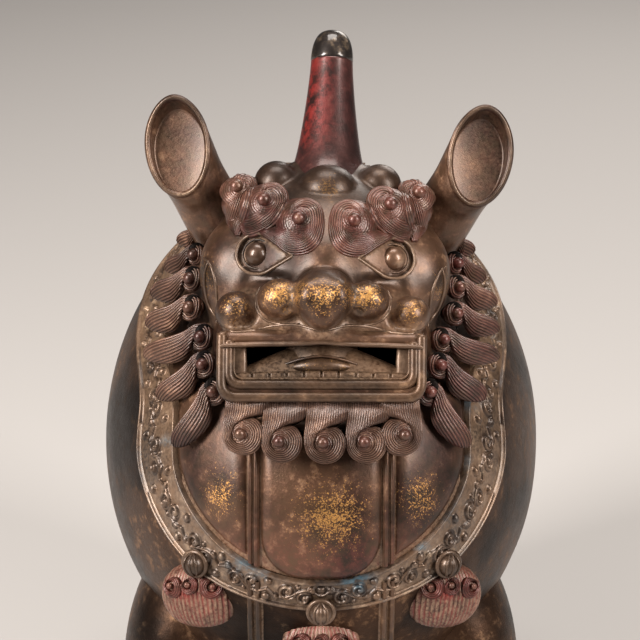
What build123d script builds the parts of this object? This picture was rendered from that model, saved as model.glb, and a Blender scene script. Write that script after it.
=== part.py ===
"""Bronze incense burner in the shape of a one-horned, lion-like beast.

The egg-shaped body is a hollow casting on four paws.  The head is its lid: it is hinged at the nape,
opens backwards, and lets the smoke out through the open mouth.  A loose ash pan stands in the belly.

Frame: millimetres, +Z up, the beast faces -Y, +X is the beast's own left.  The origin is on the
ground in the middle of the outer box.  Head pieces are placed in the face frame: u to the beast's
left, v up the face and w out of the face, measured from the middle of the egg.
"""
from build123d import *
from math import cos, hypot, radians, sin, sqrt
import os

# The egg-shaped body
egg_half_width = 85.0
egg_half_length = 112.0
egg_half_height = 97.0
egg_wall = 3.2
egg_middle_y = -1.7
egg_middle_z = 140.0

# The neck opening, a tilted flat cut across the egg
neck_front_rise = 42.6
neck_tilt = 23.8
neck_rim_height = 5.0

# Raised work on the chest
rib_spacing = 45.0
rib_width = 5.0
rib_height = 2.2
panel_height = 1.4
panel_gap = 2.6
chest_field_half_width = 50.0
chest_field_depth = 49.0

# The collar, given by its edges in side view: distance along Y and Z from the middle of the egg
collar_height = 2.5
collar_upper_edge = [(54, 98), (43, 90), (8, 78), (-34, 65), (-70, 46), (-88, 18), (-111, -9), (-118, -10)]
collar_lower_edge = [(68, 98), (57, 84), (18, 66), (-24, 53), (-54, 39), (-68, 15), (-92, -11), (-112, -23), (-118, -24)]

# Bells on the collar and tassels below them, placed in the face frame
bell_radius = 5.9
bell_ring_radius = 7.0
bell_ring_wire = 1.5
tassel_radius = 15.0
tassel_depth = 8.5
bell_places = {"centre": (0.0, -63.0), "left": (46.0, -48.5), "right": (-46.0, -48.5)}
tassel_drop = 15.0

# The head, in the face frame
face_tilt = 23.0
head_wall = 3.6
cranium_at = (0.0, 62.0, 62.0)
cranium_radii = (46.0, 45.0, 52.0)
jaw_at = (0.0, 32.0, 80.0)
jaw_radii = (41.0, 36.0, 46.0)
temple_at = (31.5, 58.0, 85.0)
temple_radius = 15.0
muzzle_half_width = 36.0
muzzle_low = 10.0
muzzle_high = 48.0
muzzle_back = 84.0
muzzle_front = 128.0
muzzle_round = 8.0
nose_at = (0.0, 47.0, 129.0)
nose_radius = 9.2
nostril_at = (15.5, 46.0, 123.5)
nostril_radius = 7.8
bridge_at = (0.0, 60.0, 106.0)
bridge_radius = 12.5
cheek_at = (31.0, 43.0, 107.0)
cheek_radius = 9.5
forehead_at = (0.0, 91.5, 88.0)
forehead_radius = 9.5

# The mouth
mouth_half_width = 33.0
mouth_low = 21.4
mouth_high = 30.5
mouth_corner = 3.0
tongue_half_width = 14.5
tongue_top = 27.4
tongue_bottom = 12.6
tongue_at_w = 112.0
tongue_half_length = 14.0
fang_size = (5.5, 9.1, 5.0)

# Eyes
eye_radius = 5.0
eye_at = (24.7, 64.2, 104.2)

# Brow curls, from the nose outwards
brow_curls = [(10.7, 77.5, 101.5), (23.0, 84.0, 95.5), (33.5, 89.0, 83.5)]
brow_radius = 11.5
brow_nub_radius = 3.6

# Mane locks, from the top down: root, tip, greatest half width
mane_locks = [((41, 71, 61), (58, 75, 58), 5.2),
              ((42, 63, 68), (63, 65, 62), 5.6),
              ((42, 53, 74), (67, 53.5, 69), 6.4),
              ((42, 43, 80), (68, 42, 76), 6.6),
              ((40, 33, 85), (67, 31, 82), 6.4),
              ((38, 24, 92), (63, 17, 91), 6.8),
              ((30, 14, 102), (56, -1, 102), 8.2)]
mane_thickness = 4.6
mane_nub_radius = 6.2
mane_clearance = 1.2

# Beard locks
beard_places = [(-28.5, 0.0), (-14.3, -3.0), (0.0, -3.0), (14.3, -3.0), (28.5, 0.0)]
beard_lobe_radius = 7.6
beard_top = 14.0
beard_back = 113.0
beard_front = 124.0
beard_dome_radius = 10.0
beard_dome_height = 2.6
beard_nub_radius = 3.0

# Ears
ear_root = (40.0, 84.0, 60.0)
ear_waist = (48.5, 95.0, 70.0)
ear_mouth = (55.7, 104.5, 84.0)
ear_root_radius = 9.6
ear_waist_radius = 11.0
ear_mouth_long = 19.0
ear_mouth_short = 12.2
ear_mouth_lean = 6.6
ear_wall = 2.0

# Horn
horn_base = (0.0, 98.0, 73.0)
horn_length = 53.0
horn_lean_back = 9.0
horn_base_radius = 13.5
horn_tip_radius = 7.7
horn_tenon_radius = 5.0
horn_tenon_length = 14.0
horn_root = 6.0

# Hinge at the nape
hinge_behind_middle = 27.0
hinge_knuckle_radius = 4.0
hinge_pin_radius = 2.0
hinge_pin_clearance = 0.05
hinge_half_width = 17.0
hinge_middle_half_width = 8.0
hinge_side_gap = 0.4
hinge_swing_gap = 0.5
hinge_plate = 1.8
hinge_plate_length = 16.0
hinge_pin_head_radius = 3.0
hinge_pin_head = 1.5
strap_thickness = 2.4
strap_rise = 19.0
rivet_radius = 1.3
rivet_head_radius = 2.3
bracket_rivet_spacing = 24.0
bracket_rivet_back = 8.0
strap_rivet_angles = (33.0, 44.0)

# Legs, for the beast's left side: place and half widths of each level, from the sole up
front_leg_levels = [((63, -64, 0), (15, 17)), ((63, -62, 13), (14.5, 15.5)), ((63.5, -57, 30), (13.5, 14)),
                    ((62, -52, 52), (15, 18.5)), ((56, -47, 80), (19, 26)), ((44, -40, 114), (15, 23))]
rear_leg_levels = [((62, 54, 0), (15, 17)), ((62, 57, 13), (13.5, 14.5)), ((62.5, 65, 30), (13.5, 13.5)),
                   ((61, 63, 52), (16, 20)), ((55, 54, 80), (21, 30)), ((43, 44, 114), (16, 25))]
paw_forward = 10.0
paw_half_width = 17.0
paw_half_length = 22.0
paw_height = 16.0
toe_radius = 6.2
toe_forward = 20.0
toe_spread = 8.4
leg_rivet_spacing = 14.0
leg_rivet_depth = 6.0
tail_rivet_rises = (-4.0, 26.0)

# Tail, hugging the rump: points in side view from the middle of the egg, and radii
tail_levels = [((100, -18), 7.0), ((112, -6), 10.0), ((112, 18), 11.0), ((107, 42), 10.0), ((103, 62), 5.5)]
tail_lobe_spread = 11.0
tail_lobe_at = (106.0, 12.0)
tail_lobe_radii = (9.0, 10.0, 20.0)

# Loose ash pan and the lugs it stands on
pan_middle_y = -34.0
pan_floor_z = 90.0
pan_height = 26.0
pan_top_radius = 38.0
pan_floor_radius = 27.0
pan_wall = 2.0
pan_rim = 2.0
lug_radius = 4.0
lug_circle = 20.0

# What is worked out from the sizes above
egg_middle = (0.0, egg_middle_y, egg_middle_z)
egg_radii = (egg_half_width, egg_half_length, egg_half_height)
lean = radians(face_tilt)
face = Plane(origin=egg_middle, x_dir=(1, 0, 0), z_dir=(0, -cos(lean), sin(lean)))
neck_front_reach = egg_half_length * sqrt(1 - (neck_front_rise / egg_half_height) ** 2)
neck = Plane(
    origin=(0, egg_middle_y - neck_front_reach, egg_middle_z + neck_front_rise),
    x_dir=(1, 0, 0),
    z_dir=(0, -sin(radians(neck_tilt)), cos(radians(neck_tilt))),
)
far = 4 * egg_half_length
on_end = (Align.CENTER, Align.CENTER, Align.MIN)
hinge_y = egg_middle_y + hinge_behind_middle
hinge_back_top = egg_half_height * sqrt(1 - (hinge_behind_middle / egg_half_length) ** 2)
hinge_z = egg_middle_z + hinge_back_top + hinge_plate + hinge_knuckle_radius + hinge_swing_gap


def ellipsoid(radii):
    return scale(Sphere(1), by=tuple(radii))


def egg(offset):
    """The egg's outer form, grown by offset on every side."""
    return Pos(*egg_middle) * ellipsoid([radius + offset for radius in egg_radii])


def on_face(place, shape):
    """A shape moved to a place in the face frame."""
    return face.location * Pos(*place) * shape


def on_egg(u, v):
    """The plane that touches the front of the egg where the line through (u, v) of the face meets it."""
    start = face.from_local_coords((u, v, 0))
    way = face.z_dir
    start = Vector(*start) - Vector(*egg_middle)
    a = sum((d / r) ** 2 for d, r in zip(way, egg_radii))
    b = sum(2 * s * d / r**2 for s, d, r in zip(start, way, egg_radii))
    c = sum((s / r) ** 2 for s, r in zip(start, egg_radii)) - 1
    w = (-b + sqrt(b * b - 4 * a * c)) / (2 * a)
    at = start + way * w
    normal = Vector(*[p / r**2 for p, r in zip(at, egg_radii)]).normalized()
    across = Vector(0, 0, 1).cross(normal).normalized()
    return Plane(origin=at + Vector(*egg_middle), x_dir=across, z_dir=normal)


def both_sides(shape):
    return [shape, mirror(shape, about=Plane.YZ)]


def above_neck(height=0.0):
    """Everything over the neck cut, from the given height above it."""
    return extrude(neck * Pos(0, 0, height) * Rectangle(far, far), far)


def below_neck():
    return extrude(neck * Rectangle(far, far), -far)


def head_form():
    """The head as a solid lump, with its features, over the neck cut."""
    muzzle_size = (2 * muzzle_half_width, muzzle_high - muzzle_low, muzzle_front - muzzle_back)
    muzzle = fillet(Box(*muzzle_size).edges(), muzzle_round)
    form = on_face(cranium_at, ellipsoid(cranium_radii))
    form += on_face(jaw_at, ellipsoid(jaw_radii))
    form += on_face((0, (muzzle_low + muzzle_high) / 2, (muzzle_back + muzzle_front) / 2), muzzle)
    form += on_face(nose_at, Sphere(nose_radius))
    form += on_face(bridge_at, Sphere(bridge_radius))
    form += on_face(forehead_at, Sphere(forehead_radius))
    form += both_sides(on_face(temple_at, Sphere(temple_radius)))
    form += both_sides(on_face(cheek_at, Sphere(cheek_radius)))
    form += both_sides(on_face(nostril_at, Sphere(nostril_radius)))
    form += egg(0) - above_neck(neck_rim_height) - below_neck()
    return form - below_neck()


def head_hollow():
    """The smoke space inside the head, open at the neck."""
    inner = [radius - head_wall for radius in cranium_radii]
    space = on_face(cranium_at, ellipsoid(inner))
    space += on_face(jaw_at, ellipsoid([radius - head_wall for radius in jaw_radii]))
    snout_size = (
        2 * (muzzle_half_width - head_wall),
        muzzle_high - muzzle_low - 2 * head_wall,
        muzzle_front - muzzle_back - head_wall,
    )
    snout = fillet(Box(*snout_size).edges(), muzzle_round - head_wall)
    space += on_face((0, (muzzle_low + muzzle_high) / 2, (muzzle_back + muzzle_front - head_wall) / 2), snout)
    space &= above_neck(neck_rim_height)
    return space + (egg(-egg_wall) - above_neck(neck_rim_height) - below_neck())


def mouth_cut():
    height = mouth_high - mouth_low
    slot = RectangleRounded(2 * mouth_half_width, height, mouth_corner)
    return on_face((0, mouth_low + height / 2, muzzle_front - muzzle_round), extrude(slot, 3 * muzzle_round))


def eye():
    return on_face(eye_at, Sphere(eye_radius))


def horn_tenon():
    """The round tenon under the horn, let through the skull."""
    length = horn_tenon_length + horn_base_radius
    tenon = Pos(0, 0, -horn_tenon_length) * Cylinder(horn_tenon_radius, length, align=on_end)
    return on_face(horn_base, Rot(-90 + horn_lean_back, 0, 0) * tenon)


def horn_taper():
    """A round taper with a domed tip, its root sunk so that it can be cut to the skull."""
    straight = horn_length - horn_tip_radius
    with BuildPart() as turned:
        with BuildSketch(Plane.XZ):
            with BuildLine():
                Line((0, -horn_root), (horn_base_radius, -horn_root))
                Line((horn_base_radius, -horn_root), (horn_base_radius, 0))
                Line((horn_base_radius, 0), (horn_tip_radius, straight))
                RadiusArc((horn_tip_radius, straight), (0, horn_length), -horn_tip_radius)
                Line((0, horn_length), (0, -horn_root))
            make_face()
        revolve(axis=Axis.Z)
    return on_face(horn_base, Rot(-90 + horn_lean_back, 0, 0) * turned.part)


def ear_shell(shrink, start):
    """The trumpet of an ear: a loft from the skull to the slanting oval mouth."""
    root = Vector(*ear_root)
    waist = Vector(*ear_waist)
    mouth = Vector(*ear_mouth)
    low = Plane(origin=root + (waist - root) * start, x_dir=(1, 0, 0), z_dir=waist - root)
    middle = Plane(origin=waist, x_dir=(1, 0, 0), z_dir=mouth - root)
    high = Plane(origin=mouth, x_dir=(1, 0, 0), z_dir=(0.12, -0.1, 1))
    sections = [
        low * Circle(ear_root_radius - shrink),
        middle * Circle(ear_waist_radius - shrink),
        high * Rot(0, 0, ear_mouth_lean) * Ellipse(ear_mouth_short - shrink, ear_mouth_long - shrink),
    ]
    return face.location * loft(sections)


def lock(root, tip, half_width, half_thickness, bend):
    """A leaf-shaped lock of hair that swells from its root and runs out to a point."""
    root = Vector(*root)
    tip = Vector(*tip)
    length = (tip - root).length
    local = Plane(origin=root, x_dir=tip - root, z_dir=Vector(0, 0, 1) - (tip - root) * ((tip - root).Z / length**2))
    sections = []
    for share, fullness in [(0.0, 0.75), (0.35, 1.0), (0.72, 0.72), (1.0, 0.12)]:
        at = Plane(origin=(share * length, bend * 4 * share * (1 - share), 0), x_dir=(0, 1, 0), z_dir=(1, 0, 0))
        sections.append(at * Ellipse(half_width * fullness, half_thickness * fullness))
    return face.location * local.location * loft(sections)


def mane():
    """The left half of the mane, cast as one piece."""
    hair = Part()
    for root, tip, half_width in mane_locks:
        hair += lock(root, tip, half_width, mane_thickness, 1.5)
        hair += on_face(root, Pos(2.5, 0, 2.5) * Sphere(mane_nub_radius))
    return hair - egg(collar_height + mane_clearance)


def beard():
    """A scalloped apron of five locks under the lower lip, each with a dome and a nub."""
    first, last = beard_places[0][0], beard_places[-1][0]
    outline = Pos(0, beard_top - 4) * Rectangle(last - first, 8)
    for u, v in beard_places:
        outline += Pos(u, v) * Circle(beard_lobe_radius)
        outline += Pos(u, (v + beard_top) / 2) * Rectangle(2 * beard_lobe_radius, beard_top - v)
    hair = extrude(face * Pos(0, 0, beard_back) * outline, beard_front - beard_back)
    for u, v in beard_places:
        hair += on_face((u, v, beard_front + beard_dome_height - beard_dome_radius), Sphere(beard_dome_radius))
        hair += on_face((u, v, beard_front + beard_dome_height), Sphere(beard_nub_radius))
    return hair - egg(rib_height + mane_clearance)


def brow():
    hair = Part()
    for place in brow_curls:
        hair += on_face(place, Sphere(brow_radius))
        hair += on_face(place, Pos(0, 0, brow_radius - 1) * Sphere(brow_nub_radius))
    return hair


def tongue(form):
    middle = (tongue_top + tongue_bottom) / 2
    radii = (tongue_half_width, (tongue_top - tongue_bottom) / 2, tongue_half_length)
    return on_face((0, middle, tongue_at_w), ellipsoid(radii)) - form


def chest_work():
    """Ribs and cushion panels that stand on the chest between the arms of the collar."""
    skin = egg(rib_height) - egg(-egg_wall / 2)
    thin_skin = egg(panel_height) - egg(-egg_wall / 2)
    work = Part()
    for side in (-1, 1):
        bar = Pos(side * rib_spacing / 2, egg_middle_y - egg_half_length, egg_middle_z - egg_half_height / 2)
        work += skin & (bar * Box(rib_width, 1.6 * egg_half_length, 1.9 * egg_half_height))
    field = Ellipse(chest_field_half_width, chest_field_depth)
    inner = rib_spacing / 2 - rib_width / 2 - panel_gap
    outer = rib_spacing / 2 + rib_width / 2 + panel_gap
    strips = Rectangle(2 * inner, far) + Pos(outer + far / 2, 0) * Rectangle(far, far)
    strips += Pos(-outer - far / 2, 0) * Rectangle(far, far)
    panels = extrude(face * (field & strips), far)
    return work + (thin_skin & panels)


def collar():
    """The ornamental band that hangs round the neck, over the back and across the chest."""
    upper = Spline(*collar_upper_edge)
    lower = Spline(*collar_lower_edge)
    ends = [Line(upper @ 0, lower @ 0), Line(upper @ 1, lower @ 1)]
    outline = make_face([upper, lower] + ends)
    strip = extrude(Plane.YZ * outline, far, both=True)
    return (egg(collar_height) - egg(0)) & (Pos(*egg_middle) * strip)


def bell(place):
    """A ring-and-ball boss on the collar."""
    seat = on_egg(*place)
    ball = seat.location * Pos(0, 0, collar_height) * Sphere(bell_radius)
    ring = seat.location * Pos(0, 0, collar_height) * Torus(bell_ring_radius, bell_ring_wire)
    return ball + ring - egg(collar_height)


def fangs():
    """Two fangs at the corners of the mouth, standing in the slot."""
    width, height, depth = fang_size
    at = (mouth_half_width - width / 2, (mouth_low + mouth_high) / 2, muzzle_front - head_wall / 2 - depth / 2)
    return both_sides(on_face(at, Box(width, height, depth)))


def tassel(place):
    """A domed tassel head that lies on the chest below its bell."""
    seat = on_egg(place[0], place[1] - tassel_drop)
    return seat.location * Pos(0, 0, tassel_depth - tassel_radius) * Sphere(tassel_radius) - egg(0)


def leg(levels):
    """A leg lofted from sole to shoulder, with a broad paw of four toes, cut to the egg."""
    limb = loft([Pos(*place) * Ellipse(*radii) for place, radii in levels])
    x, y, z = levels[0][0]
    paw = Pos(x, y - paw_forward, 0) * ellipsoid((paw_half_width, paw_half_length, paw_height))
    limb += paw
    for step in (-1.5, -0.5, 0.5, 1.5):
        reach = toe_forward - 1.2 * step * step
        limb += Pos(x + step * toe_spread, y - paw_forward - reach, toe_radius - 1) * Sphere(toe_radius)
    ground = Pos(x, y, -far / 2) * Box(far, far, far)
    return limb - ground - egg(0)


def seat_from_middle(towards):
    """The plane that touches the egg where the line from its middle towards a point meets it."""
    way = Vector(*towards) - Vector(*egg_middle)
    size = sqrt(sum((p / r) ** 2 for p, r in zip(way, egg_radii)))
    at = way * (1 / size)
    normal = Vector(*[p / r**2 for p, r in zip(at, egg_radii)]).normalized()
    return Plane(origin=at + Vector(*egg_middle), z_dir=normal)


def shank(seat, low, high):
    return seat.location * Pos(0, 0, low) * Cylinder(rivet_radius, high - low, align=on_end)


def rivet_head(seat, height):
    return seat.location * Pos(0, 0, height) * Sphere(rivet_head_radius)


def leg_rivet_seats(levels):
    x, y, z = levels[4][0]
    return [seat_from_middle((x, y, z + side * leg_rivet_spacing / 2)) for side in (-1, 1)]


def tail_rivet_seats():
    return [seat_from_middle((0, egg_middle_y + egg_half_length, egg_middle_z + rise)) for rise in tail_rivet_rises]


def bracket_rivet_seats():
    y = hinge_y + bracket_rivet_back
    top = egg_middle_z + egg_half_height
    return [seat_from_middle((side * bracket_rivet_spacing / 2, y, top)) for side in (-1, 1)]


def strap_rivet_seats():
    """Places on the back of the skull, on lines from its middle at given angles over the level."""
    middle = Vector(*face.from_local_coords(cranium_at))
    seats = []
    for angle in strap_rivet_angles:
        way = Vector(0, cos(radians(angle)), sin(radians(angle)))
        up = way.dot(face.y_dir) / cranium_radii[1]
        out = way.dot(face.z_dir) / cranium_radii[2]
        seats.append(Plane(origin=middle + way * (1 / hypot(up, out)), z_dir=way))
    return seats


def tail():
    """A bushy tail turned up against the rump, with a lobe on each side."""
    sections = []
    for (along, up), radius in tail_levels:
        at = Plane(origin=(0, egg_middle_y + along, egg_middle_z + up), x_dir=(1, 0, 0), z_dir=(0, 0, 1))
        sections.append(at * Ellipse(radius * 1.2, radius))
    body = loft(sections)
    lobe = Pos(tail_lobe_spread, egg_middle_y + tail_lobe_at[0], egg_middle_z + tail_lobe_at[1])
    body += both_sides(lobe * Rot(0, 16, 0) * ellipsoid(tail_lobe_radii))
    return body - egg(0)


def along_hinge(radius, low, high):
    """A round bar along the hinge axis between two places in X."""
    bar = Cylinder(radius, high - low)
    return Pos((low + high) / 2, hinge_y, hinge_z) * Rot(0, 90, 0) * bar


def hinge_bracket():
    """The plate riveted to the back, with the two outer knuckles."""
    start = hinge_y - hinge_knuckle_radius + 0.5
    footprint = Pos(0, start + hinge_plate_length / 2, egg_middle_z + egg_half_height)
    bracket = (egg(hinge_plate) - egg(0)) & (footprint * Box(2 * hinge_half_width, hinge_plate_length, egg_half_height))
    gap = hinge_middle_half_width + hinge_side_gap
    width = hinge_half_width - gap
    post_height = hinge_z - egg_middle_z - hinge_back_top
    post = Pos(gap + width / 2, hinge_y, hinge_z - post_height / 2) * Box(width, 1.5 * hinge_knuckle_radius, post_height)
    bracket += both_sides(post - egg(0))
    bracket += both_sides(along_hinge(hinge_knuckle_radius, gap, hinge_half_width))
    return bracket - along_hinge(hinge_pin_radius + hinge_pin_clearance, -far, far)


def hinge_strap():
    """The strap that follows the back of the skull, with the middle knuckle."""
    half = hinge_middle_half_width
    grown = on_face(cranium_at, ellipsoid([radius + strap_thickness for radius in cranium_radii]))
    reach = 2 * hinge_behind_middle
    column = Pos(0, hinge_y - reach / 2, hinge_z + strap_rise / 2) * Box(2 * half, reach, strap_rise)
    strap = grown & column
    side = [(hinge_y, hinge_z + hinge_knuckle_radius), (hinge_y - 20, hinge_z + 6), (hinge_y - 24, hinge_z - 2.5), (hinge_y, hinge_z - 2.5)]
    outline = make_face(Polyline(*side, close=True))
    strap += extrude(Plane.YZ * outline, half, both=True)
    strap += along_hinge(hinge_knuckle_radius, -half, half)
    return strap - along_hinge(hinge_pin_radius + hinge_pin_clearance, -far, far)


def hinge_pin():
    reach = hinge_half_width + hinge_side_gap
    pin = along_hinge(hinge_pin_radius, -reach, reach)
    return pin + both_sides(along_hinge(hinge_pin_head_radius, reach, reach + hinge_pin_head))


def ash_pan():
    """A round pan with a rolled rim, turned from one profile."""
    with BuildPart() as turned:
        with BuildSketch(Plane.XZ):
            with BuildLine():
                Line((0, 0), (pan_floor_radius, 0))
                Line((pan_floor_radius, 0), (pan_top_radius - pan_rim, pan_height))
                Line((pan_top_radius - pan_rim, pan_height), (pan_top_radius - pan_rim - pan_wall, pan_height))
                Line((pan_top_radius - pan_rim - pan_wall, pan_height), (pan_floor_radius - pan_wall, pan_wall))
                Line((pan_floor_radius - pan_wall, pan_wall), (0, pan_wall))
                Line((0, pan_wall), (0, 0))
            make_face()
        revolve(axis=Axis.Z)
    pan = turned.part + Pos(0, 0, pan_height - pan_rim / 2) * Torus(pan_top_radius - pan_rim, pan_rim / 2)
    return Pos(0, egg_middle_y + pan_middle_y, pan_floor_z) * pan


def pan_lugs():
    """Three lugs cast up from the belly floor to the bottom of the pan."""
    lugs = Part()
    depth = pan_floor_z - (egg_middle_z - egg_half_height)
    for turn in (90, 210, 330):
        at = Pos(0, egg_middle_y + pan_middle_y, pan_floor_z - depth / 2) * Rot(0, 0, turn) * Pos(lug_circle, 0, 0)
        lugs += at * Cylinder(lug_radius, depth)
    return lugs & egg(-egg_wall / 2)


def write(name, shape):
    export_step(shape, f"parts/{name}.step")


os.makedirs("parts", exist_ok=True)

form = head_form()
tenon = horn_tenon()
eyes = both_sides(eye())
ears = both_sides(ear_shell(0, 0) - ear_shell(ear_wall, 0.4) - form)
manes = both_sides(mane() - form - ears[0])
brows = both_sides(brow() - form - ears[0] - eyes[0])
work = chest_work() - above_neck()
skin = egg(0) - above_neck() + work - egg(-egg_wall) + pan_lugs()

leg_seats = {"front": leg_rivet_seats(front_leg_levels), "rear": leg_rivet_seats(rear_leg_levels)}
all_leg_seats = [seat for seats in leg_seats.values() for seat in seats]
leg_shanks = both_sides(Part() + [shank(seat, -egg_wall, leg_rivet_depth) for seat in all_leg_seats])
leg_heads = both_sides(Part() + [rivet_head(seat, -egg_wall) for seat in all_leg_seats])
tail_shanks = Part() + [shank(seat, -egg_wall, leg_rivet_depth) for seat in tail_rivet_seats()]
tail_heads = Part() + [rivet_head(seat, -egg_wall) for seat in tail_rivet_seats()]
bracket_shanks = Part() + [shank(seat, -egg_wall, hinge_plate) for seat in bracket_rivet_seats()]
bracket_heads = Part() + [rivet_head(seat, hinge_plate) for seat in bracket_rivet_seats()]
strap_shanks = Part() + [shank(seat, -head_wall, strap_thickness) for seat in strap_rivet_seats()]
strap_heads = Part() + [rivet_head(seat, strap_thickness) for seat in strap_rivet_seats()]
bracket = hinge_bracket()
strap = hinge_strap() - form

parts = {}
shell = form - head_hollow() - mouth_cut() - tenon
parts["head_shell"] = shell - eyes - strap_shanks
parts["body_shell"] = skin - leg_shanks - tail_shanks - bracket_shanks
parts["collar_band"] = collar() - work
for side, place in bell_places.items():
    parts[f"bell_{side}"] = bell(place) - work
    parts[f"tassel_{side}"] = tassel(place) - parts["collar_band"] - parts[f"bell_{side}"] - work
for name, levels in {"front": front_leg_levels, "rear": rear_leg_levels}.items():
    parts[f"leg_{name}_left"], parts[f"leg_{name}_right"] = both_sides(leg(levels) - leg_shanks[0])
parts["leg_rivets"] = Part() + [rod + (head - skin) for rod, head in zip(leg_shanks, leg_heads)]
parts["tail"] = tail() - tail_shanks
parts["tail_rivets"] = tail_shanks + (tail_heads - skin)
parts["hinge_bracket"] = bracket - bracket_shanks
parts["bracket_rivets"] = bracket_shanks + (bracket_heads - bracket - egg(0))
parts["hinge_strap"] = strap - strap_shanks
parts["strap_rivets"] = strap_shanks + (strap_heads - strap - form)
parts["hinge_pin"] = hinge_pin()
parts["horn"] = horn_taper() - form + tenon
parts["ear_left"], parts["ear_right"] = ears
parts["mane_left"], parts["mane_right"] = manes
parts["beard"] = beard() - form - manes[0] - manes[1]
parts["brow_curls_left"], parts["brow_curls_right"] = [curls - parts["horn"] for curls in brows]
parts["eye_left"], parts["eye_right"] = eyes
parts["tongue"] = tongue(shell)
parts["fangs"] = Part() + fangs() - shell
parts["ash_pan"] = ash_pan()

for name, shape in parts.items():
    write(name, shape)
whole = Compound(children=list(parts.values()))
print("whole", whole.bounding_box())
print("hinge axis", hinge_y, hinge_z)
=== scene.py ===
# %% [markdown]
# # A horned beast incense burner in old bronze
# The real object is a hollow egg of cast bronze on four paws. Its head is the lid, hinged at the
# nape, and smoke leaves by the mouth. Hair, collar and tassels were chased with combed lines, then
# the bronze was patinated, lacquered red in places and splashed with gilding. This notebook dresses
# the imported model: it keeps its plain castings and adds every worked surface over them.

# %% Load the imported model
import bpy
import bmesh
import numpy as np
from mathutils import Matrix, Vector


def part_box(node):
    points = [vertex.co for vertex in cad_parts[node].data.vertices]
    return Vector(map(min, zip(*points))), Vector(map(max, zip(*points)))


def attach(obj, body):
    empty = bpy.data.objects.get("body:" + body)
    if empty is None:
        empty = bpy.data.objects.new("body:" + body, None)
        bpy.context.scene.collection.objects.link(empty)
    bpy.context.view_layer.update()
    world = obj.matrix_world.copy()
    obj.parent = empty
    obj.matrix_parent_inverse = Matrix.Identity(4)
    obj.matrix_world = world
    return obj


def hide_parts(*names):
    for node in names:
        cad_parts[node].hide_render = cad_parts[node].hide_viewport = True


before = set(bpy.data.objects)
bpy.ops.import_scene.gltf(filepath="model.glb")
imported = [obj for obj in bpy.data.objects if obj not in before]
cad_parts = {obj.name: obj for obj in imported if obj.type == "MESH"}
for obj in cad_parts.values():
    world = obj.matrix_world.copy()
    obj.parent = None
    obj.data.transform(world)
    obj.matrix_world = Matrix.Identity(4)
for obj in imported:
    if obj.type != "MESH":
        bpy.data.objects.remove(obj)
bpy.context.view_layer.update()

# %% [markdown]
# ## Two frames of measure
# All sizes are millimetres until a mesh is made. The head leans forward, so its pieces are placed
# in the face frame: u to the beast's left, v up the face, w out of the face, all from the middle
# of the egg. One matrix turns such places into the row's own frame.

# %% Driving sizes and the face frame
MM = 0.001
body_low, body_high = [np.array(corner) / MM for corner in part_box("body_shell")]
egg_half_width = (body_high[0] - body_low[0]) / 2
EGG = np.array([egg_half_width, 112.0, 97.0])
EGG_MIDDLE = np.array([0.0, -1.7, 140.0])
FACE_TILT = np.radians(23.0)
NECK_TILT = np.radians(23.8)
NECK_RISE = 42.6
NECK_RIM = 5.0
CROOKED = 0.031
face_axes = np.array([[1, 0, 0],
                      [0, np.sin(FACE_TILT), np.cos(FACE_TILT)],
                      [0, -np.cos(FACE_TILT), np.sin(FACE_TILT)]])
neck_point = np.array([0, -EGG[1] * np.sqrt(1 - (NECK_RISE / EGG[2]) ** 2), NECK_RISE])
neck_normal = np.array([0, -np.sin(NECK_TILT), np.cos(NECK_TILT)])


def smooth_step(low, high, value):
    """0 below one value, 1 above the other, and 3 t^2 - 2 t^3 between them."""
    t = np.clip((value - low) / (high - low), 0, 1)
    return t * t * (3 - 2 * t)


def from_face(points):
    """Points (u, v, w) of the face frame as places in the row's frame, in millimetres. The real head
    was cast a little crooked: above the mouth its front turns about the mouth by a small angle."""
    points = np.asarray(points, float)
    u, v, w = points[..., 0], points[..., 1], points[..., 2]
    angle = CROOKED * smooth_step(20, 62, v) * smooth_step(15, 55, w)
    leaning = np.stack([u + angle * (v - 20), v - angle * u, w], -1)
    return leaning @ face_axes + EGG_MIDDLE


def to_face(points):
    """Places in the row's frame as points of the face frame, without the lean."""
    return (np.asarray(points, float) - EGG_MIDDLE) @ face_axes.T


def unit(vectors):
    """Vectors divided by their own lengths."""
    return vectors / np.maximum(np.linalg.norm(vectors, axis=-1, keepdims=True), 1e-9)


def egg_depth(u, v):
    """The w at which the line through (u, v) of the face leaves the front of the egg: the larger
    root of the ellipsoid's equation along that line."""
    start = np.stack([u, v * face_axes[1, 1], v * face_axes[1, 2]], -1)
    way = face_axes[2]
    a = np.sum((way / EGG) ** 2)
    b = np.sum(2 * start * way / EGG**2, -1)
    c = np.sum((start / EGG) ** 2, -1) - 1
    return (-b + np.sqrt(np.maximum(b * b - 4 * a * c, 0))) / (2 * a)


def egg_normal(points):
    """The outward normal of the egg at places in the row's frame: the gradient of its equation."""
    return unit((points - EGG_MIDDLE) / EGG**2)


def egg_front(u, v, height=0.0):
    """A place on the front of the egg seen at (u, v) of the face, lifted along the normal."""
    points = from_face(np.stack([u, v, egg_depth(u, v)], -1))
    return points + egg_normal(points) * np.asarray(height)[..., None]


# %% [markdown]
# ## From arrays to meshes
# Every new piece is a grid of points worked out as a whole array. A grid may close on itself
# either way, and a ring at its end is closed by one face. Along with its place, each point keeps
# a groove value, which above zero brings pale dust and below zero a darkening, mostly painted
# shade, and how much gilding and red lacquer is left there: the materials read those three values.

# %% Grids to meshes
materials = {}
made = []


def patch(points, groove=0.0, gilt=0.0, red=0.0, wrap_rows=False, wrap_columns=False, caps=False):
    """One grid of points (rows, columns, 3) with its finish values."""
    shape = points.shape[:2]
    values = [np.broadcast_to(np.asarray(value, float), shape) for value in (groove, gilt, red)]
    return {"points": points, "values": values, "wrap": (wrap_rows, wrap_columns), "caps": caps}


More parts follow.
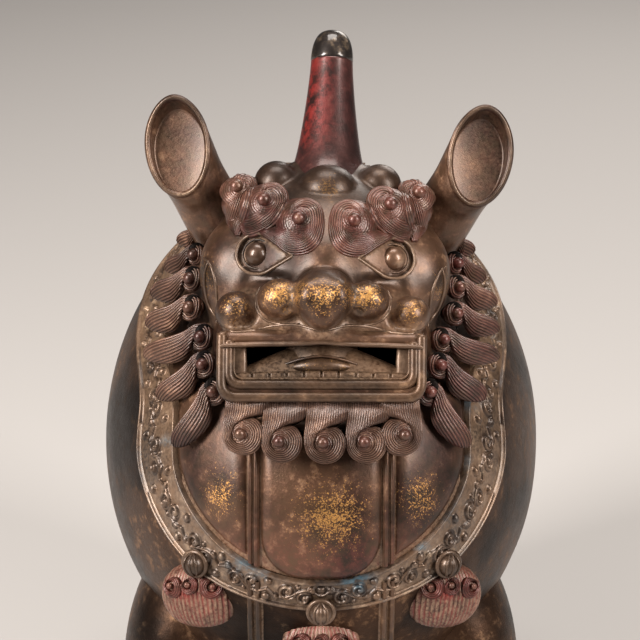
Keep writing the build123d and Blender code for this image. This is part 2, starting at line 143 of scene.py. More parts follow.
def mesh_of(name, points, faces, values):
    """A mesh in metres from points in millimetres, with the three finish values of each point."""
    mesh = bpy.data.meshes.new(name)
    mesh.from_pydata((points * MM).tolist(), [], faces)
    for label, store in zip(("groove", "gilt", "red"), values):
        mesh.attributes.new(label, "FLOAT", "POINT").data.foreach_set("value", np.asarray(store, float))
    return mesh


def mesh_from(name, patches):
    """A mesh of quads from grids; the caps close the first and last row of a tube."""
    vertices, faces, values = [], [], [[], [], []]
    start = 0
    for item in patches:
        rows, columns = item["points"].shape[:2]
        i, j = np.meshgrid(
            np.arange(rows if item["wrap"][0] else rows - 1),
            np.arange(columns if item["wrap"][1] else columns - 1),
            indexing="ij",
        )
        after_i, after_j = (i + 1) % rows, (j + 1) % columns
        corners = [i * columns + j, i * columns + after_j, after_i * columns + after_j, after_i * columns + j]
        faces += (np.stack(corners, -1).reshape(-1, 4) + start).tolist()
        if item["caps"]:
            ring = np.arange(columns) + start
            faces += [ring[::-1].tolist(), (ring + (rows - 1) * columns).tolist()]
        vertices.append(item["points"].reshape(-1, 3))
        for store, value in zip(values, item["values"]):
            store.append(value.reshape(-1))
        start += rows * columns
    return mesh_of(name, np.concatenate(vertices), faces, [np.concatenate(store) for store in values])


def finish_piece(name, mesh, body, material, replaces):
    """Makes a mesh a piece: turns its faces outwards, and gives it its material, the body it rides
    on and the nodes it stands for."""
    work = bmesh.new()
    work.from_mesh(mesh)
    bmesh.ops.recalc_face_normals(work, faces=work.faces)
    work.to_mesh(mesh)
    work.free()
    mesh.polygons.foreach_set("use_smooth", np.ones(len(mesh.polygons), bool))
    mesh.materials.append(materials[material])
    made_object = bpy.data.objects.new(name, mesh)
    bpy.context.scene.collection.objects.link(made_object)
    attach(made_object, body)
    if replaces:
        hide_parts(*replaces)
    made.append((name, 2 * len(mesh.polygons)))


def piece(name, patches, body, material, replaces=()):
    """A piece from grids."""
    finish_piece(name, mesh_from(name, patches), body, material, replaces)


def free_piece(name, points, faces, values, body, material, replaces=()):
    """A piece from points and faces that are no grid."""
    finish_piece(name, mesh_of(name, points, faces.tolist(), values), body, material, replaces)


def on_side(patches, side, red=1.0):
    """Grids of the face frame put on the beast's left (1) or right (-1), with more or less red."""
    placed = []
    for item in patches:
        groove, gilt, lacquer = item["values"]
        points = from_face(item["points"] * [side, 1, 1])
        placed.append(dict(item, points=points, values=[groove, gilt, lacquer * red]))
    return placed


def both_sides(patches):
    """Grids of the face frame put on both sides, as one list."""
    return on_side(patches, 1) + on_side(patches, -1)


def smooth_path(points, count):
    """A Catmull-Rom curve through a few points, evenly spaced along its length."""
    points = np.asarray(points, float)
    padded = np.vstack([2 * points[0] - points[1], points, 2 * points[-1] - points[-2]])
    t = np.linspace(0, 1, 24, endpoint=False)[:, None]
    parts = []
    for a, b, c, d in zip(padded, padded[1:], padded[2:], padded[3:]):
        parts.append(0.5 * (2 * b + (c - a) * t + (2 * a - 5 * b + 4 * c - d) * t**2
                            + (3 * b - a - 3 * c + d) * t**3))
    dense = np.vstack(parts + [points[-1:]])
    length = np.concatenate([[0], np.cumsum(np.linalg.norm(np.diff(dense, axis=0), axis=1))])
    even = np.linspace(0, length[-1], count)
    return np.stack([np.interp(even, length, dense[:, k]) for k in range(dense.shape[1])], -1)


def sweep(path, ups, across, up, wide=1.0, tall=1.0):
    """A profile carried along a path: each row is the path's point plus the profile's offsets
    sideways and upwards, scaled along the way by wide and tall."""
    tangent = unit(np.gradient(path, axis=0))
    side = unit(np.cross(tangent, ups))
    lift = np.cross(side, tangent)
    wide = np.broadcast_to(wide, len(path))[:, None, None]
    tall = np.broadcast_to(tall, len(path))[:, None, None]
    return (path[:, None] + side[:, None] * (np.asarray(across)[..., None] * wide)
            + lift[:, None] * (np.asarray(up)[..., None] * tall))


def tube(path, radius, ups=(0.3, 0.2, 1.0), sides=10, closed=False, **finish):
    """A round wire along a path, with closed ends or joined into a ring."""
    turn = np.linspace(0, 2 * np.pi, sides, endpoint=False)
    if closed:
        ups = np.broadcast_to(ups, path.shape)
        wrapped, ups = [np.vstack([item[-1:], item, item[:1]]) for item in (path, ups)]
        radius = np.broadcast_to(radius, len(path))[0]
        grid = sweep(wrapped, ups, np.cos(turn), np.sin(turn), radius, radius)[1:-1]
        return patch(grid, wrap_rows=True, wrap_columns=True, **finish)
    grid = sweep(path, np.broadcast_to(ups, path.shape), np.cos(turn), np.sin(turn), radius, radius)
    return patch(grid, wrap_columns=True, caps=True, **finish)


def ball(middle, radii, axes=np.eye(3), rows=24, columns=32, **finish):
    """An ellipsoid by latitude and longitude, its two small end rings closed by a face each."""
    latitude = np.linspace(0.03, np.pi - 0.03, rows)[:, None]
    longitude = np.linspace(0, 2 * np.pi, columns, endpoint=False)[None]
    local = np.stack([np.sin(latitude) * np.cos(longitude), np.sin(latitude) * np.sin(longitude),
                      np.cos(latitude) + 0 * longitude], -1)
    points = np.asarray(middle) + (local * radii) @ np.asarray(axes)
    return patch(points, wrap_columns=True, caps=True, **finish)


def turned(middle, axis, radius, height, columns=48, **finish):
    """A lathe form: radii and heights along an axis."""
    axis = unit(np.asarray(axis, float))
    side = unit(np.cross(axis, [0.3, 0.9, 0.2]))
    other = np.cross(axis, side)
    turn = np.linspace(0, 2 * np.pi, columns, endpoint=False)
    ring = np.cos(turn)[:, None] * side + np.sin(turn)[:, None] * other
    radius = np.asarray(radius, float)[:, None, None]
    height = np.asarray(height, float)[:, None, None]
    return patch(np.asarray(middle) + ring * radius + axis * height, wrap_columns=True, caps=True, **finish)


# %% [markdown]
# ## The patina
# Old bronze is not one colour. The base is a dark brown that shifts in large soft clouds, worn
# high places are lighter and smoother, and pale dirt stays in every groove. Gilding survives as a
# grainy spatter and the red lacquer as thin skins. One node group mixes all of that, and each
# material places it with its own colours.

# %% Small helpers for nodes


def new_node(tree, kind, **settings):
    """A node with some of its inputs or settings given by name."""
    node = tree.nodes.new(kind)
    for name, value in settings.items():
        if name in node.inputs:
            node.inputs[name].default_value = value
        else:
            setattr(node, name, value)
    return node


def math_node(tree, operation, first, second=None, third=None, clamp=False):
    """One sum, product or other operation on sockets or plain numbers."""
    node = tree.nodes.new("ShaderNodeMath")
    node.operation = operation
    node.use_clamp = clamp
    for slot_number, value in enumerate((first, second, third)):
        if value is None:
            continue
        if isinstance(value, (int, float)):
            node.inputs[slot_number].default_value = value
        else:
            tree.links.new(value, node.inputs[slot_number])
    return node.outputs[0]


def mix_colour(tree, factor, first, second):
    """The first colour at factor 0 and the second at 1; each may be a socket or three numbers."""
    node = tree.nodes.new("ShaderNodeMix")
    node.data_type = "RGBA"
    for socket, value in ((node.inputs[0], factor), (node.inputs[6], first), (node.inputs[7], second)):
        if hasattr(value, "links"):
            tree.links.new(value, socket)
        elif isinstance(value, (int, float)):
            socket.default_value = value
        else:
            socket.default_value = (*value, 1.0)
    return node.outputs[2]


def noise(tree, place, scale, detail=4.0, roughness=0.6):
    """Noise over places in metres: its forms are about one over the scale wide."""
    node = new_node(tree, "ShaderNodeTexNoise", Scale=scale, Detail=detail, Roughness=roughness)
    tree.links.new(place, node.inputs["Vector"])
    return node.outputs["Fac"]


def ramp(tree, value, low, high):
    """0 below one value and 1 above the other, smoothly between."""
    node = new_node(tree, "ShaderNodeMapRange")
    node.inputs["From Min"].default_value = low
    node.inputs["From Max"].default_value = high
    node.interpolation_type = "SMOOTHSTEP"
    tree.links.new(value, node.inputs["Value"])
    return node.outputs["Result"]


# %% [markdown]
# The group works from noise at four sizes: clouds of three centimetres, mottling of half a
# centimetre, grains of a millimetre and specks finer still. Groove, gilding and red come from the
# mesh, and a groove below zero takes the darkest colour: that is painted shade in crevices, under
# locks and in gaps, and the darker crown of the head.

# %% The patina node group


def patina_group():
    """Colour, roughness, metal and height of old bronze from noise and the three point values."""
    tree = bpy.data.node_groups.new("patina", "ShaderNodeTree")
    for name in ("Dark", "Brown", "Worn", "Dirt", "Red"):
        tree.interface.new_socket(name, in_out="INPUT", socket_type="NodeSocketColor")
    for name in ("Dirt amount", "Red amount", "Gilt amount"):
        tree.interface.new_socket(name, in_out="INPUT", socket_type="NodeSocketFloat")
    tree.interface.new_socket("Color", in_out="OUTPUT", socket_type="NodeSocketColor")
    for name in ("Roughness", "Metallic", "Height"):
        tree.interface.new_socket(name, in_out="OUTPUT", socket_type="NodeSocketFloat")
    given = tree.nodes.new("NodeGroupInput").outputs
    place = tree.nodes.new("ShaderNodeTexCoord").outputs["Object"]
    values = {}
    for name in ("groove", "gilt", "red"):
        values[name] = new_node(tree, "ShaderNodeAttribute", attribute_name=name).outputs["Fac"]
    clouds = noise(tree, place, 28.0, 5.0)
    mottle = noise(tree, place, 210.0, 6.0, 0.7)
    grains = noise(tree, place, 900.0, 4.0, 0.7)
    specks = noise(tree, place, 2300.0, 2.0, 0.6)

    colour = mix_colour(tree, ramp(tree, clouds, 0.36, 0.62), given["Dark"], given["Brown"])
    worn = math_node(tree, "MULTIPLY", ramp(tree, mottle, 0.5, 0.68), ramp(tree, clouds, 0.4, 0.65))
    colour = mix_colour(tree, worn, colour, given["Worn"])
    red_skin = math_node(tree, "MULTIPLY", ramp(tree, mottle, 0.36, 0.6), values["red"])
    red_skin = math_node(tree, "MULTIPLY", red_skin, given["Red amount"], clamp=True)
    colour = mix_colour(tree, red_skin, colour, given["Red"])
    dust = math_node(tree, "MULTIPLY_ADD", ramp(tree, mottle, 0.56, 0.74), 0.35, values["groove"])
    dust = math_node(tree, "MULTIPLY", dust, ramp(tree, grains, 0.3, 0.62))
    dust = math_node(tree, "MULTIPLY", dust, given["Dirt amount"], clamp=True)
    colour = mix_colour(tree, dust, colour, given["Dirt"])
    flakes = noise(tree, place, 1500.0, 3.0, 0.75)
    spatter = math_node(tree, "MULTIPLY_ADD", mottle, 0.3, math_node(tree, "MULTIPLY", flakes, 0.8))
    threshold = math_node(tree, "MULTIPLY_ADD", values["gilt"], -0.2, 0.7)
    gilding = math_node(tree, "SUBTRACT", spatter, threshold)
    gilding = math_node(tree, "MULTIPLY", gilding, 12.0, clamp=True)
    gilding = math_node(tree, "MULTIPLY", gilding, ramp(tree, values["gilt"], 0.02, 0.2))
    gilding = math_node(tree, "MULTIPLY", gilding, given["Gilt amount"], clamp=True)
    colour = mix_colour(tree, gilding, colour, (0.56, 0.29, 0.085))

    # Painted shade: below zero the groove value darkens towards the darkest colour, in crevices, under locks,
    # in gaps and on the crown.
    painted_shade_and_crown_darkening = math_node(tree, "MULTIPLY", values["groove"], -1.0, clamp=True)
    colour = mix_colour(tree, painted_shade_and_crown_darkening, colour, given["Dark"])

    rough = math_node(tree, "MULTIPLY_ADD", mottle, 0.3, 0.2)
    rough = math_node(tree, "MULTIPLY_ADD", dust, 0.35, rough)
    rough = math_node(tree, "MULTIPLY_ADD", grains, 0.12, rough, clamp=True)
    metal = math_node(tree, "MULTIPLY_ADD", dust, -0.55, 0.62)
    metal = math_node(tree, "MULTIPLY_ADD", red_skin, -0.5, metal, clamp=True)
    metal = math_node(tree, "MAXIMUM", metal, math_node(tree, "MULTIPLY", gilding, 0.9))
    height = math_node(tree, "MULTIPLY_ADD", mottle, 0.5, math_node(tree, "MULTIPLY", grains, 0.35))
    height = math_node(tree, "MULTIPLY_ADD", specks, 0.12, height)
    height = math_node(tree, "MULTIPLY_ADD", gilding, 0.08, height)
    out = tree.nodes.new("NodeGroupOutput")
    for name, value in (("Color", colour), ("Roughness", rough), ("Metallic", metal), ("Height", height)):
        tree.links.new(value, out.inputs[name])
    return tree


PATINA = patina_group()


def bronze(name, dark, brown, worn, dirt=(0.26, 0.17, 0.105), red=(0.16, 0.012, 0.01), dirt_amount=0.9,
           coat=0.25, coat_roughness=0.22, shine=0.45):
    """A bronze finish: the patina group feeding one Principled shader. Its grain stands under half
    a millimetre high."""
    material = bpy.data.materials.new(name)
    material.use_nodes = True
    tree = material.node_tree
    shader = tree.nodes["Principled BSDF"]
    group = tree.nodes.new("ShaderNodeGroup")
    group.node_tree = PATINA
    for label, colour in (("Dark", dark), ("Brown", brown), ("Worn", worn), ("Dirt", dirt), ("Red", red)):
        group.inputs[label].default_value = (*colour, 1.0)
    amounts = (("Dirt amount", dirt_amount), ("Red amount", 1.0), ("Gilt amount", 1.0))
    for label, amount in amounts:
        group.inputs[label].default_value = amount
    for label in ("Roughness", "Metallic"):
        tree.links.new(group.outputs[label], shader.inputs[label])
    tree.links.new(group.outputs["Color"], shader.inputs["Base Color"])
    shader.inputs["Coat Weight"].default_value = coat
    shader.inputs["Specular IOR Level"].default_value = shine
    shader.inputs["Coat Roughness"].default_value = coat_roughness
    relief = new_node(tree, "ShaderNodeBump", Strength=0.6, Distance=0.00045)
    tree.links.new(group.outputs["Height"], relief.inputs["Height"])
    tree.links.new(relief.outputs["Normal"], shader.inputs["Normal"])
    materials[name] = material


# %% [markdown]
# The finishes differ in their five colours, and in how much of the old varnish is left as a coat.

# %% The finishes
bronze("old bronze", (0.011, 0.006, 0.004), (0.06, 0.031, 0.018), (0.2, 0.11, 0.062), coat=0.0, shine=0.15)
bronze("head bronze", (0.02, 0.0105, 0.006), (0.105, 0.054, 0.029), (0.27, 0.155, 0.086), coat=0.3,
       coat_roughness=0.28, dirt=(0.3, 0.19, 0.115), red=(0.12, 0.018, 0.012))
bronze("hair bronze", (0.022, 0.01, 0.007), (0.115, 0.058, 0.036), (0.3, 0.175, 0.11), coat=0.45,
       dirt=(0.4, 0.27, 0.175), red=(0.12, 0.016, 0.014))
bronze("collar bronze", (0.028, 0.015, 0.009), (0.17, 0.1, 0.06), (0.4, 0.27, 0.17), coat=0.3,
       dirt=(0.36, 0.235, 0.145), red=(0.03, 0.12, 0.18))
bronze("horn lacquer", (0.022, 0.009, 0.008), (0.07, 0.024, 0.02), (0.13, 0.045, 0.035), coat=0.55,
       red=(0.17, 0.011, 0.008), dirt_amount=0.3)
bronze("tassel lacquer", (0.03, 0.011, 0.008), (0.11, 0.04, 0.028), (0.22, 0.105, 0.07),
       dirt=(0.3, 0.19, 0.125), red=(0.24, 0.02, 0.017))
bronze("worn wire", (0.05, 0.029, 0.018), (0.16, 0.095, 0.06), (0.36, 0.25, 0.17), coat=0.4,
       dirt=(0.3, 0.19, 0.12))
bronze("eye bronze", (0.06, 0.032, 0.02), (0.15, 0.08, 0.048), (0.32, 0.2, 0.125), coat=0.6,
       coat_roughness=0.12)
bronze("black tip", (0.008, 0.006, 0.005), (0.018, 0.012, 0.01), (0.14, 0.1, 0.065), coat=0.9,
       coat_roughness=0.1)
# A near-black finish for flat discs that stand for hollows: painted shade.
bronze("painted hole shade", (0.004, 0.003, 0.003), (0.008, 0.006, 0.005), (0.012, 0.008, 0.006), coat=0.0,
       dirt_amount=0.1, shine=0.05)
bronze("smoked copper", (0.03, 0.014, 0.008), (0.12, 0.05, 0.028), (0.3, 0.13, 0.07), dirt=(0.3, 0.28, 0.26))
print("finishes", list(materials))


def dress(node, material):
    """A kept CAD node gets one of the finishes."""
    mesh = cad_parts[node].data
    mesh.materials.clear()
    mesh.materials.append(materials[material])


# %% [markdown]
# ## The egg-shaped body
# The real body is one thin casting. It is drawn as two egg surfaces, outside and inside, joined
# over the flat rim of the neck. Rows run from the neck to the far side, so the pole of the grid is
# low on the rump where nobody looks, and the outer wall wavers a little as cast bronze does.

# %% Egg shell


def egg_grid(grow, rim_lift, rows=150, columns=220):
    """An egg by rings round the neck's own axis: the ring nearest the neck lies in its plane."""
    radii = EGG + grow
    side = np.array([1.0, 0, 0])
    level = np.dot(neck_point + neck_normal * rim_lift, neck_normal)
    start = np.arccos(level / np.linalg.norm(neck_normal * radii))
    polar = (start + (np.pi - 0.006 - start) * np.linspace(0, 1, rows))[:, None, None]
    turn = np.linspace(0, 2 * np.pi, columns, endpoint=False)[None, :, None]
    axis = unit(neck_normal * radii)
    other = np.cross(axis, side)
    around = np.cos(turn) * side + np.sin(turn) * other
    return (np.cos(polar) * axis + np.sin(polar) * around) * radii + EGG_MIDDLE


EGG_WALL = 3.2
outer = egg_grid(0.0, 0.0)
waver = (0.12 * np.sin(outer[..., 0] / 9 + outer[..., 2] / 13) * np.sin(outer[..., 1] / 11)
         + 0.08 * np.sin(outer[..., 0] / 5 - outer[..., 1] / 7 + outer[..., 2] / 6))
fade = np.clip(np.arange(len(outer)) / 12, 0, 1)[:, None]
outer = outer + egg_normal(outer) * (waver * fade - 0.05)[..., None]
inner = egg_grid(-EGG_WALL, 0.0)
body_skin = np.concatenate([outer[::-1], inner])
print("egg rows and columns", body_skin.shape[:2])
piece("egg_shell", [patch(body_skin, wrap_columns=True, caps=True)], "body", "old bronze",
      replaces=("body_shell",))

# %% [markdown]
# ## The chest
# Inside the collar the chest carries a round-cornered middle panel, a panel on each side and two
# ribs, each of two rounded bars side by side. It is one fine grid over the egg, because soft edges
# this small need points every third of a millimetre. Its height is the highest of the forms at
# each place.

# %% Chest work
RIB_U = 24.0
CHEST_HALF = 50.5
CHEST_DEPTH = 52.5
PANEL_HALF = 21.4
PANEL_CORNER = 15.4
SIDE_PANEL_FROM = 26.6
SIDE_PANEL_RADII = (52.3, 50.0)
SKIN = 0.12


def rib_height(u):
    """Two rounded bars side by side on a low strip, along a rib: each bar is a half ellipse."""
    away = np.abs(np.abs(u) - RIB_U)
    bars = np.sqrt(np.clip(1 - ((away - 1.05) / 0.95) ** 2, 0, 1))
    return (0.5 + 1.8 * bars) * smooth_step(2.3, 1.95, away)


def pillow(inside, height, edge):
    """A raised panel: over a given distance from its border it rises like a quarter ellipse."""
    share = np.clip(inside / edge, 0, 1)
    return height * np.sqrt(share * (2 - share))


def neck_edge(u):
    """The v of the neck's rim over each u: the rim is a tilted ellipse, s its front half's place."""
    half_length = np.linalg.norm(np.array([0, 119.0, 52.4])) / 2
    middle_y, middle_z, half_width = -40.5, 68.8, 51.4
    s = -half_length * np.sqrt(np.maximum(1 - (u / half_width) ** 2, 0))
    y = middle_y + s * np.cos(NECK_TILT)
    z = middle_z + s * np.sin(NECK_TILT)
    return y * face_axes[1, 1] + z * face_axes[1, 2]


chest_u = np.linspace(-CHEST_HALF, CHEST_HALF, 330)[:, None]
chest_low = -CHEST_DEPTH * np.sqrt(1 - (chest_u / 54.0) ** 2)
chest_high = np.minimum(neck_edge(chest_u) - 1.2, 20)
share = np.linspace(0, 1, 230)[None]
chest_v = chest_low + (chest_high - chest_low) * share
chest_u = np.broadcast_to(chest_u, chest_v.shape)
past_side = np.maximum(np.abs(chest_u) - (PANEL_HALF - PANEL_CORNER), 0)
corner = np.hypot(past_side, np.maximum(-36.0 - chest_v, 0))
middle_inside = np.minimum(PANEL_HALF - np.abs(chest_u), PANEL_CORNER - corner)
field = np.sqrt((chest_u / SIDE_PANEL_RADII[0]) ** 2 + (chest_v / SIDE_PANEL_RADII[1]) ** 2)
side_inside = np.minimum(np.abs(chest_u) - SIDE_PANEL_FROM, (1 - field) * 49)
height = SKIN + pillow(np.maximum(middle_inside, 0), 2.0, 4.5)
height = np.maximum(height, SKIN + pillow(np.maximum(side_inside, 0), 1.9, 5.0))
height = np.maximum(height, rib_height(chest_u))
height *= smooth_step(0, 1.2, chest_v - chest_low)
height -= 0.3 * (1 - smooth_step(0, 0.8, chest_v - chest_low))
low_place = smooth_step(0.7, 0.1, height) * 0.55
line = np.exp(-((np.abs(np.abs(chest_u) - RIB_U)) / 0.4) ** 2) * 0.4
chest_gilt = (0.95 * np.exp(-((chest_u - 3) / 13) ** 2 - ((chest_v + 29) / 12) ** 2)
              + 0.75 * np.exp(-((np.abs(chest_u) - 35) / 7) ** 2 - ((chest_v + 22) / 9) ** 2))
chest_red = 0.15 + 0.3 * np.exp(-((chest_v + 44) / 9) ** 2)
chest = egg_front(chest_u, chest_v, height)
piece("chest_plate", [patch(chest, groove=np.maximum(low_place, line), gilt=chest_gilt, red=chest_red)],
      "body", "head bronze")
print("chest points", chest[..., 0].size, "highest", round(float(height.max()), 2), "mm")

# %% [markdown]
# ## Below the collar, and inside
# The two double lines of the chest run on under the collar and along the belly. Each is a narrow
# strip of the egg, given by its place across and by the angle down from the front. The three posts
# that carry the ash pan rise from the belly floor.

# %% Lower ribs and pan posts
PAN_MIDDLE_Y = -34.0
PAN_FLOOR_Z = 90.0
POST_CIRCLE = 20.0
POST_RADIUS = 3.9


def belly_point(x, angle, height):
    """A place on the egg: x across, then the ellipse of that slice at an angle below the front."""
    slice_size = np.sqrt(1 - (x / EGG[0]) ** 2)
    points = EGG_MIDDLE + np.stack([x + 0 * angle, -EGG[1] * slice_size * np.cos(angle),
                                    -EGG[2] * slice_size * np.sin(angle)], -1)
    return points + egg_normal(points) * np.asarray(height)[..., None]


rib_across = np.linspace(-3.2, 3.2, 33)[None]
rib_angle = np.linspace(0.12, 2.9, 260)[:, None]
lower_ribs = []
for side in (-1, 1):
    edge = smooth_step(3.2, 2.7, np.abs(rib_across))
    bars = np.maximum(0, 1 - ((np.abs(rib_across) - 1.4) / 1.05) ** 2) ** 0.5
    level = (0.3 + 1.7 * bars) * edge - 0.4 * (1 - edge)
    points = belly_point(side * RIB_U + rib_across, rib_angle, np.broadcast_to(level, (260, 33)))
    hollow = np.broadcast_to(1 - bars, (260, 33)) * 0.7
    lower_ribs.append(patch(points, groove=hollow))
piece("belly_ribs", lower_ribs, "body", "head bronze")

posts = []
for turn in np.radians((90, 210, 330)):
    x, y = POST_CIRCLE * np.cos(turn), PAN_MIDDLE_Y + POST_CIRCLE * np.sin(turn)
    inner_half = EGG - EGG_WALL
    floor = -inner_half[2] * np.sqrt(1 - (x / inner_half[0]) ** 2 - (y / inner_half[1]) ** 2)
    foot = EGG_MIDDLE + np.array([x, y, floor - 1.5])
    top = PAN_FLOOR_Z - 0.2 - foot[2]
    radius = [POST_RADIUS + 2, POST_RADIUS + 0.8, POST_RADIUS, POST_RADIUS, POST_RADIUS - 0.5]
    posts.append(turned(foot, (0, 0, 1), radius, [0, 2.5, 6, top - 0.5, top], columns=24))
piece("pan_posts", posts, "body", "old bronze")

# %% [markdown]
# ## The collar
# The collar is a band with raised edges, pairs of round beads, and between them scrolls of foliage
# in low relief. Its two edges are curves in side view. Each line from edge to edge is laid on the
# egg, which gives the place across, and the whole loop is then spaced evenly by its length, so
# that the carving can be drawn in millimetres along and across the band.

# %% Collar band
COLLAR_LIFT = 2.3
collar_upper = [(54, 98), (43, 90), (8, 78), (-34, 65), (-70, 46), (-88, 18), (-111, -9), (-118, -10)]
collar_lower = [(68, 98), (57, 84), (18, 66), (-24, 53), (-54, 39), (-68, 15), (-92, -11), (-112, -23),
                (-118, -24)]
COLLAR_ROWS = 1600
COLLAR_COLUMNS = 60


def edge_curve(points):
    """One edge of the band in side view, as a smooth line of many points."""
    return smooth_path(np.asarray(points, float), 900)


def collar_loop(grow):
    """The band's grid before carving: for each line along it, the part of its side view that lies
    inside the egg, spread so that it closes over the middle plane at both ends."""
    radii = EGG + grow
    upper, lower = edge_curve(collar_upper), edge_curve(collar_lower)
    lines = []
    for share in np.linspace(0, 1, COLLAR_COLUMNS):
        side_view = upper * (1 - share) + lower * share
        inside = 1 - (side_view[:, 0] / radii[1]) ** 2 - (side_view[:, 1] / radii[2]) ** 2
        kept = np.flatnonzero(inside > 0)
        half = radii[0] * np.sqrt(inside[kept])
        line = np.column_stack([half, side_view[kept]])
        ends = [np.array([[0, *line[0, 1:]]]), np.array([[0, *line[-1, 1:]]])]
        line = np.vstack([ends[0], line, ends[1]])
        length = np.concatenate([[0], np.cumsum(np.linalg.norm(np.diff(line, axis=0), axis=1))])
        even = np.linspace(0, length[-1], COLLAR_ROWS // 2 + 1)
        line = np.stack([np.interp(even, length, line[:, k]) for k in range(3)], -1)
        other = line[-2:0:-1] * [-1, 1, 1]
        lines.append(np.vstack([line, other]))
    return np.stack(lines, 1)


# %% [markdown]
# The carving repeats at one pitch. Each length holds two large spirals, three small ones and a
# waving stem between them, and the pattern turns over from one length to the next. A pair of beads
# stands where two lengths meet, on a plain ground.

# %% Carving on the collar
band = collar_loop(0.0)
middle_line = band[:, COLLAR_COLUMNS // 2]
step = np.linalg.norm(np.roll(middle_line, -1, axis=0) - middle_line, axis=1)
along = np.concatenate([[0], np.cumsum(step)[:-1]])
loop_length = step.sum()
width = np.linalg.norm(band[:, -1] - band[:, 0], axis=1)
across = (np.linspace(0, 1, COLLAR_COLUMNS)[None] - 0.5) * width[:, None]
from_edge = 0.5 * width[:, None] - np.abs(across)

REPEATS = 27
pitch = loop_length / REPEATS
phase = (along[:, None] / pitch + 0.5 + 0 * across) % 1
local_a = (phase - 0.5) * pitch
parity = np.where(np.floor(along[:, None] / pitch + 0.5) % 2 == 0, 1.0, -1.0)
local_b = across * parity
half_width = 0.5 * width[:, None]


def scroll(a, b, at, reach, turns, hand, wire=0.62):
    """A spiral wire in relief: high where the distance from the middle matches the arm's own,
    which grows evenly with the angle."""
    x, y = a - at[0], (b - at[1]) * hand
    radius, angle = np.hypot(x, y), np.arctan2(y, x)
    growth = reach / turns
    arm = (radius / growth - angle / (2 * np.pi)) % 1
    away = np.minimum(arm, 1 - arm) * growth
    return np.exp(-((away / wire) ** 2)) * smooth_step(reach, reach - 0.9, radius)


def bead(a, b, at, radius):
    """A half ball: the root of the squared radius less the squared distance."""
    return np.sqrt(np.clip(1 - ((a - at[0]) ** 2 + (b - at[1]) ** 2) / radius**2, 0, 1))


SCROLLS = (((2.3, -0.9), 3.5, 1.55, 1, 1.0), ((-3.9, 1.3), 2.9, 1.45, -1, 0.95),
           ((6.4, 2.3), 1.7, 1.2, -1, 0.8), ((-6.6, -2.2), 1.8, 1.2, 1, 0.8),
           ((-1.4, -3.2), 1.2, 1.0, -1, 0.7))
relief = np.zeros_like(local_a)
for at, reach, turns, hand, tall in SCROLLS:
    relief = np.maximum(relief, 1.5 * tall * scroll(local_a, local_b, at, 1.12 * reach, turns, hand, 0.68))
    relief = np.maximum(relief, 1.6 * tall * bead(local_a, local_b, at, 0.9))
stem = np.abs(local_b - 2.3 * np.sin(local_a * 2 * np.pi / pitch))
relief = np.maximum(relief, 1.1 * np.exp(-((stem / 0.6) ** 2)))
for at_b in (-0.5, 0.5):
    at_a = np.abs(np.abs(local_a) - pitch / 2)
    place_b = across - at_b * half_width
    plain = smooth_step(1.7, 2.4, np.hypot(at_a, place_b))
    relief = relief * plain
    relief = np.maximum(relief, 1.7 * bead(at_a, place_b, (0, 0), 1.7))
relief *= smooth_step(1.7, 2.3, from_edge)
rail_wire = 1.5 * np.sqrt(np.clip(1 - ((from_edge - 0.8) / 0.8) ** 2, 0, 1))
relief = np.maximum(relief, rail_wire)
lift = COLLAR_LIFT - 1.3 + relief
lift *= smooth_step(0, 0.35, from_edge)
band_on_egg = band + EGG_MIDDLE
front = band_on_egg + egg_normal(band_on_egg) * (lift - 0.15)[..., None]
band_face = to_face(band_on_egg)
old_blue = 0.15 * np.exp(-((band_face[..., 1] + 35) / 30) ** 2) + np.zeros_like(relief)
blue_spots = ((-27, -46, 4), (-21, -50, 2), (13, -52, 4), (17, -55, 2), (22, -60, 2), (49, -9, 3),
              (53, 12, 3), (-55, -2, 2), (36, -40, 2))
for at_u, at_v, wide in blue_spots:
    near_u = (band_face[..., 0] - at_u) / (1.7 * wide)
    near_v = (band_face[..., 1] - at_v) / (1.1 * wide)
    old_blue = np.maximum(old_blue, 0.7 * np.exp(-(near_u**2 + near_v**2)))
old_blue *= band_face[..., 2] > 0
# Pale dust on the plain ground, and painted shade as dark outlines at the foot of the raised carving.
dust_and_outline_shade = 0.5 * smooth_step(0.12, 0.04, relief) - np.exp(-(((relief - 0.38) / 0.34) ** 2)) + 0.1
piece("collar_relief", [patch(front, groove=dust_and_outline_shade, red=old_blue, wrap_rows=True)], "body", "collar bronze",
      replaces=("collar_band",))
print("collar loop", round(loop_length), "mm, width", round(width.min(), 1), "to", round(width.max(), 1))

# %% [markdown]
# ## The head as a field of distances
# The head was modelled in wax from lumps pressed together, and a grid of rows and columns can't
# follow a snout with nostrils and a mouth that opens into a hollow. So it is made another way: as
# a field that gives each place its distance from the surface, with balls, ellipsoids and a block
# joined softly. The surface is then drawn where the field is zero, and each point is moved onto it.

# %% Fields and their surfaces


def ellipsoid_field(p, middle, radii):
    """Nearly the distance: with k the scaled radius and l its slope, k (k - 1) / l."""
    q = p - np.asarray(middle, float)
    near = np.linalg.norm(q / radii, axis=-1)
    slope = np.linalg.norm(q / np.square(radii), axis=-1)
    return near * (near - 1) / np.maximum(slope, 1e-6)


def ball_field(p, middle, radius):
    """The distance from the middle, less the radius."""
    return np.linalg.norm(p - np.asarray(middle, float), axis=-1) - radius


def block_field(p, middle, half, edge):
    """A box with rounded edges: the distance to a smaller box, less the rounding."""
    q = np.abs(p - np.asarray(middle, float)) - (np.asarray(half, float) - edge)
    outside = np.linalg.norm(np.maximum(q, 0), axis=-1)
    return outside + np.minimum(q.max(-1), 0) - edge


def join(a, b, soft):
    """A soft union: the lower field, lowered more where both are near."""
    h = np.clip(0.5 + 0.5 * (b - a) / soft, 0, 1)
    return b + (a - b) * h - soft * h * (1 - h)


def carve(a, b, soft):
    """The first form without the second, with a softened edge."""
    return -join(-a, b, soft)


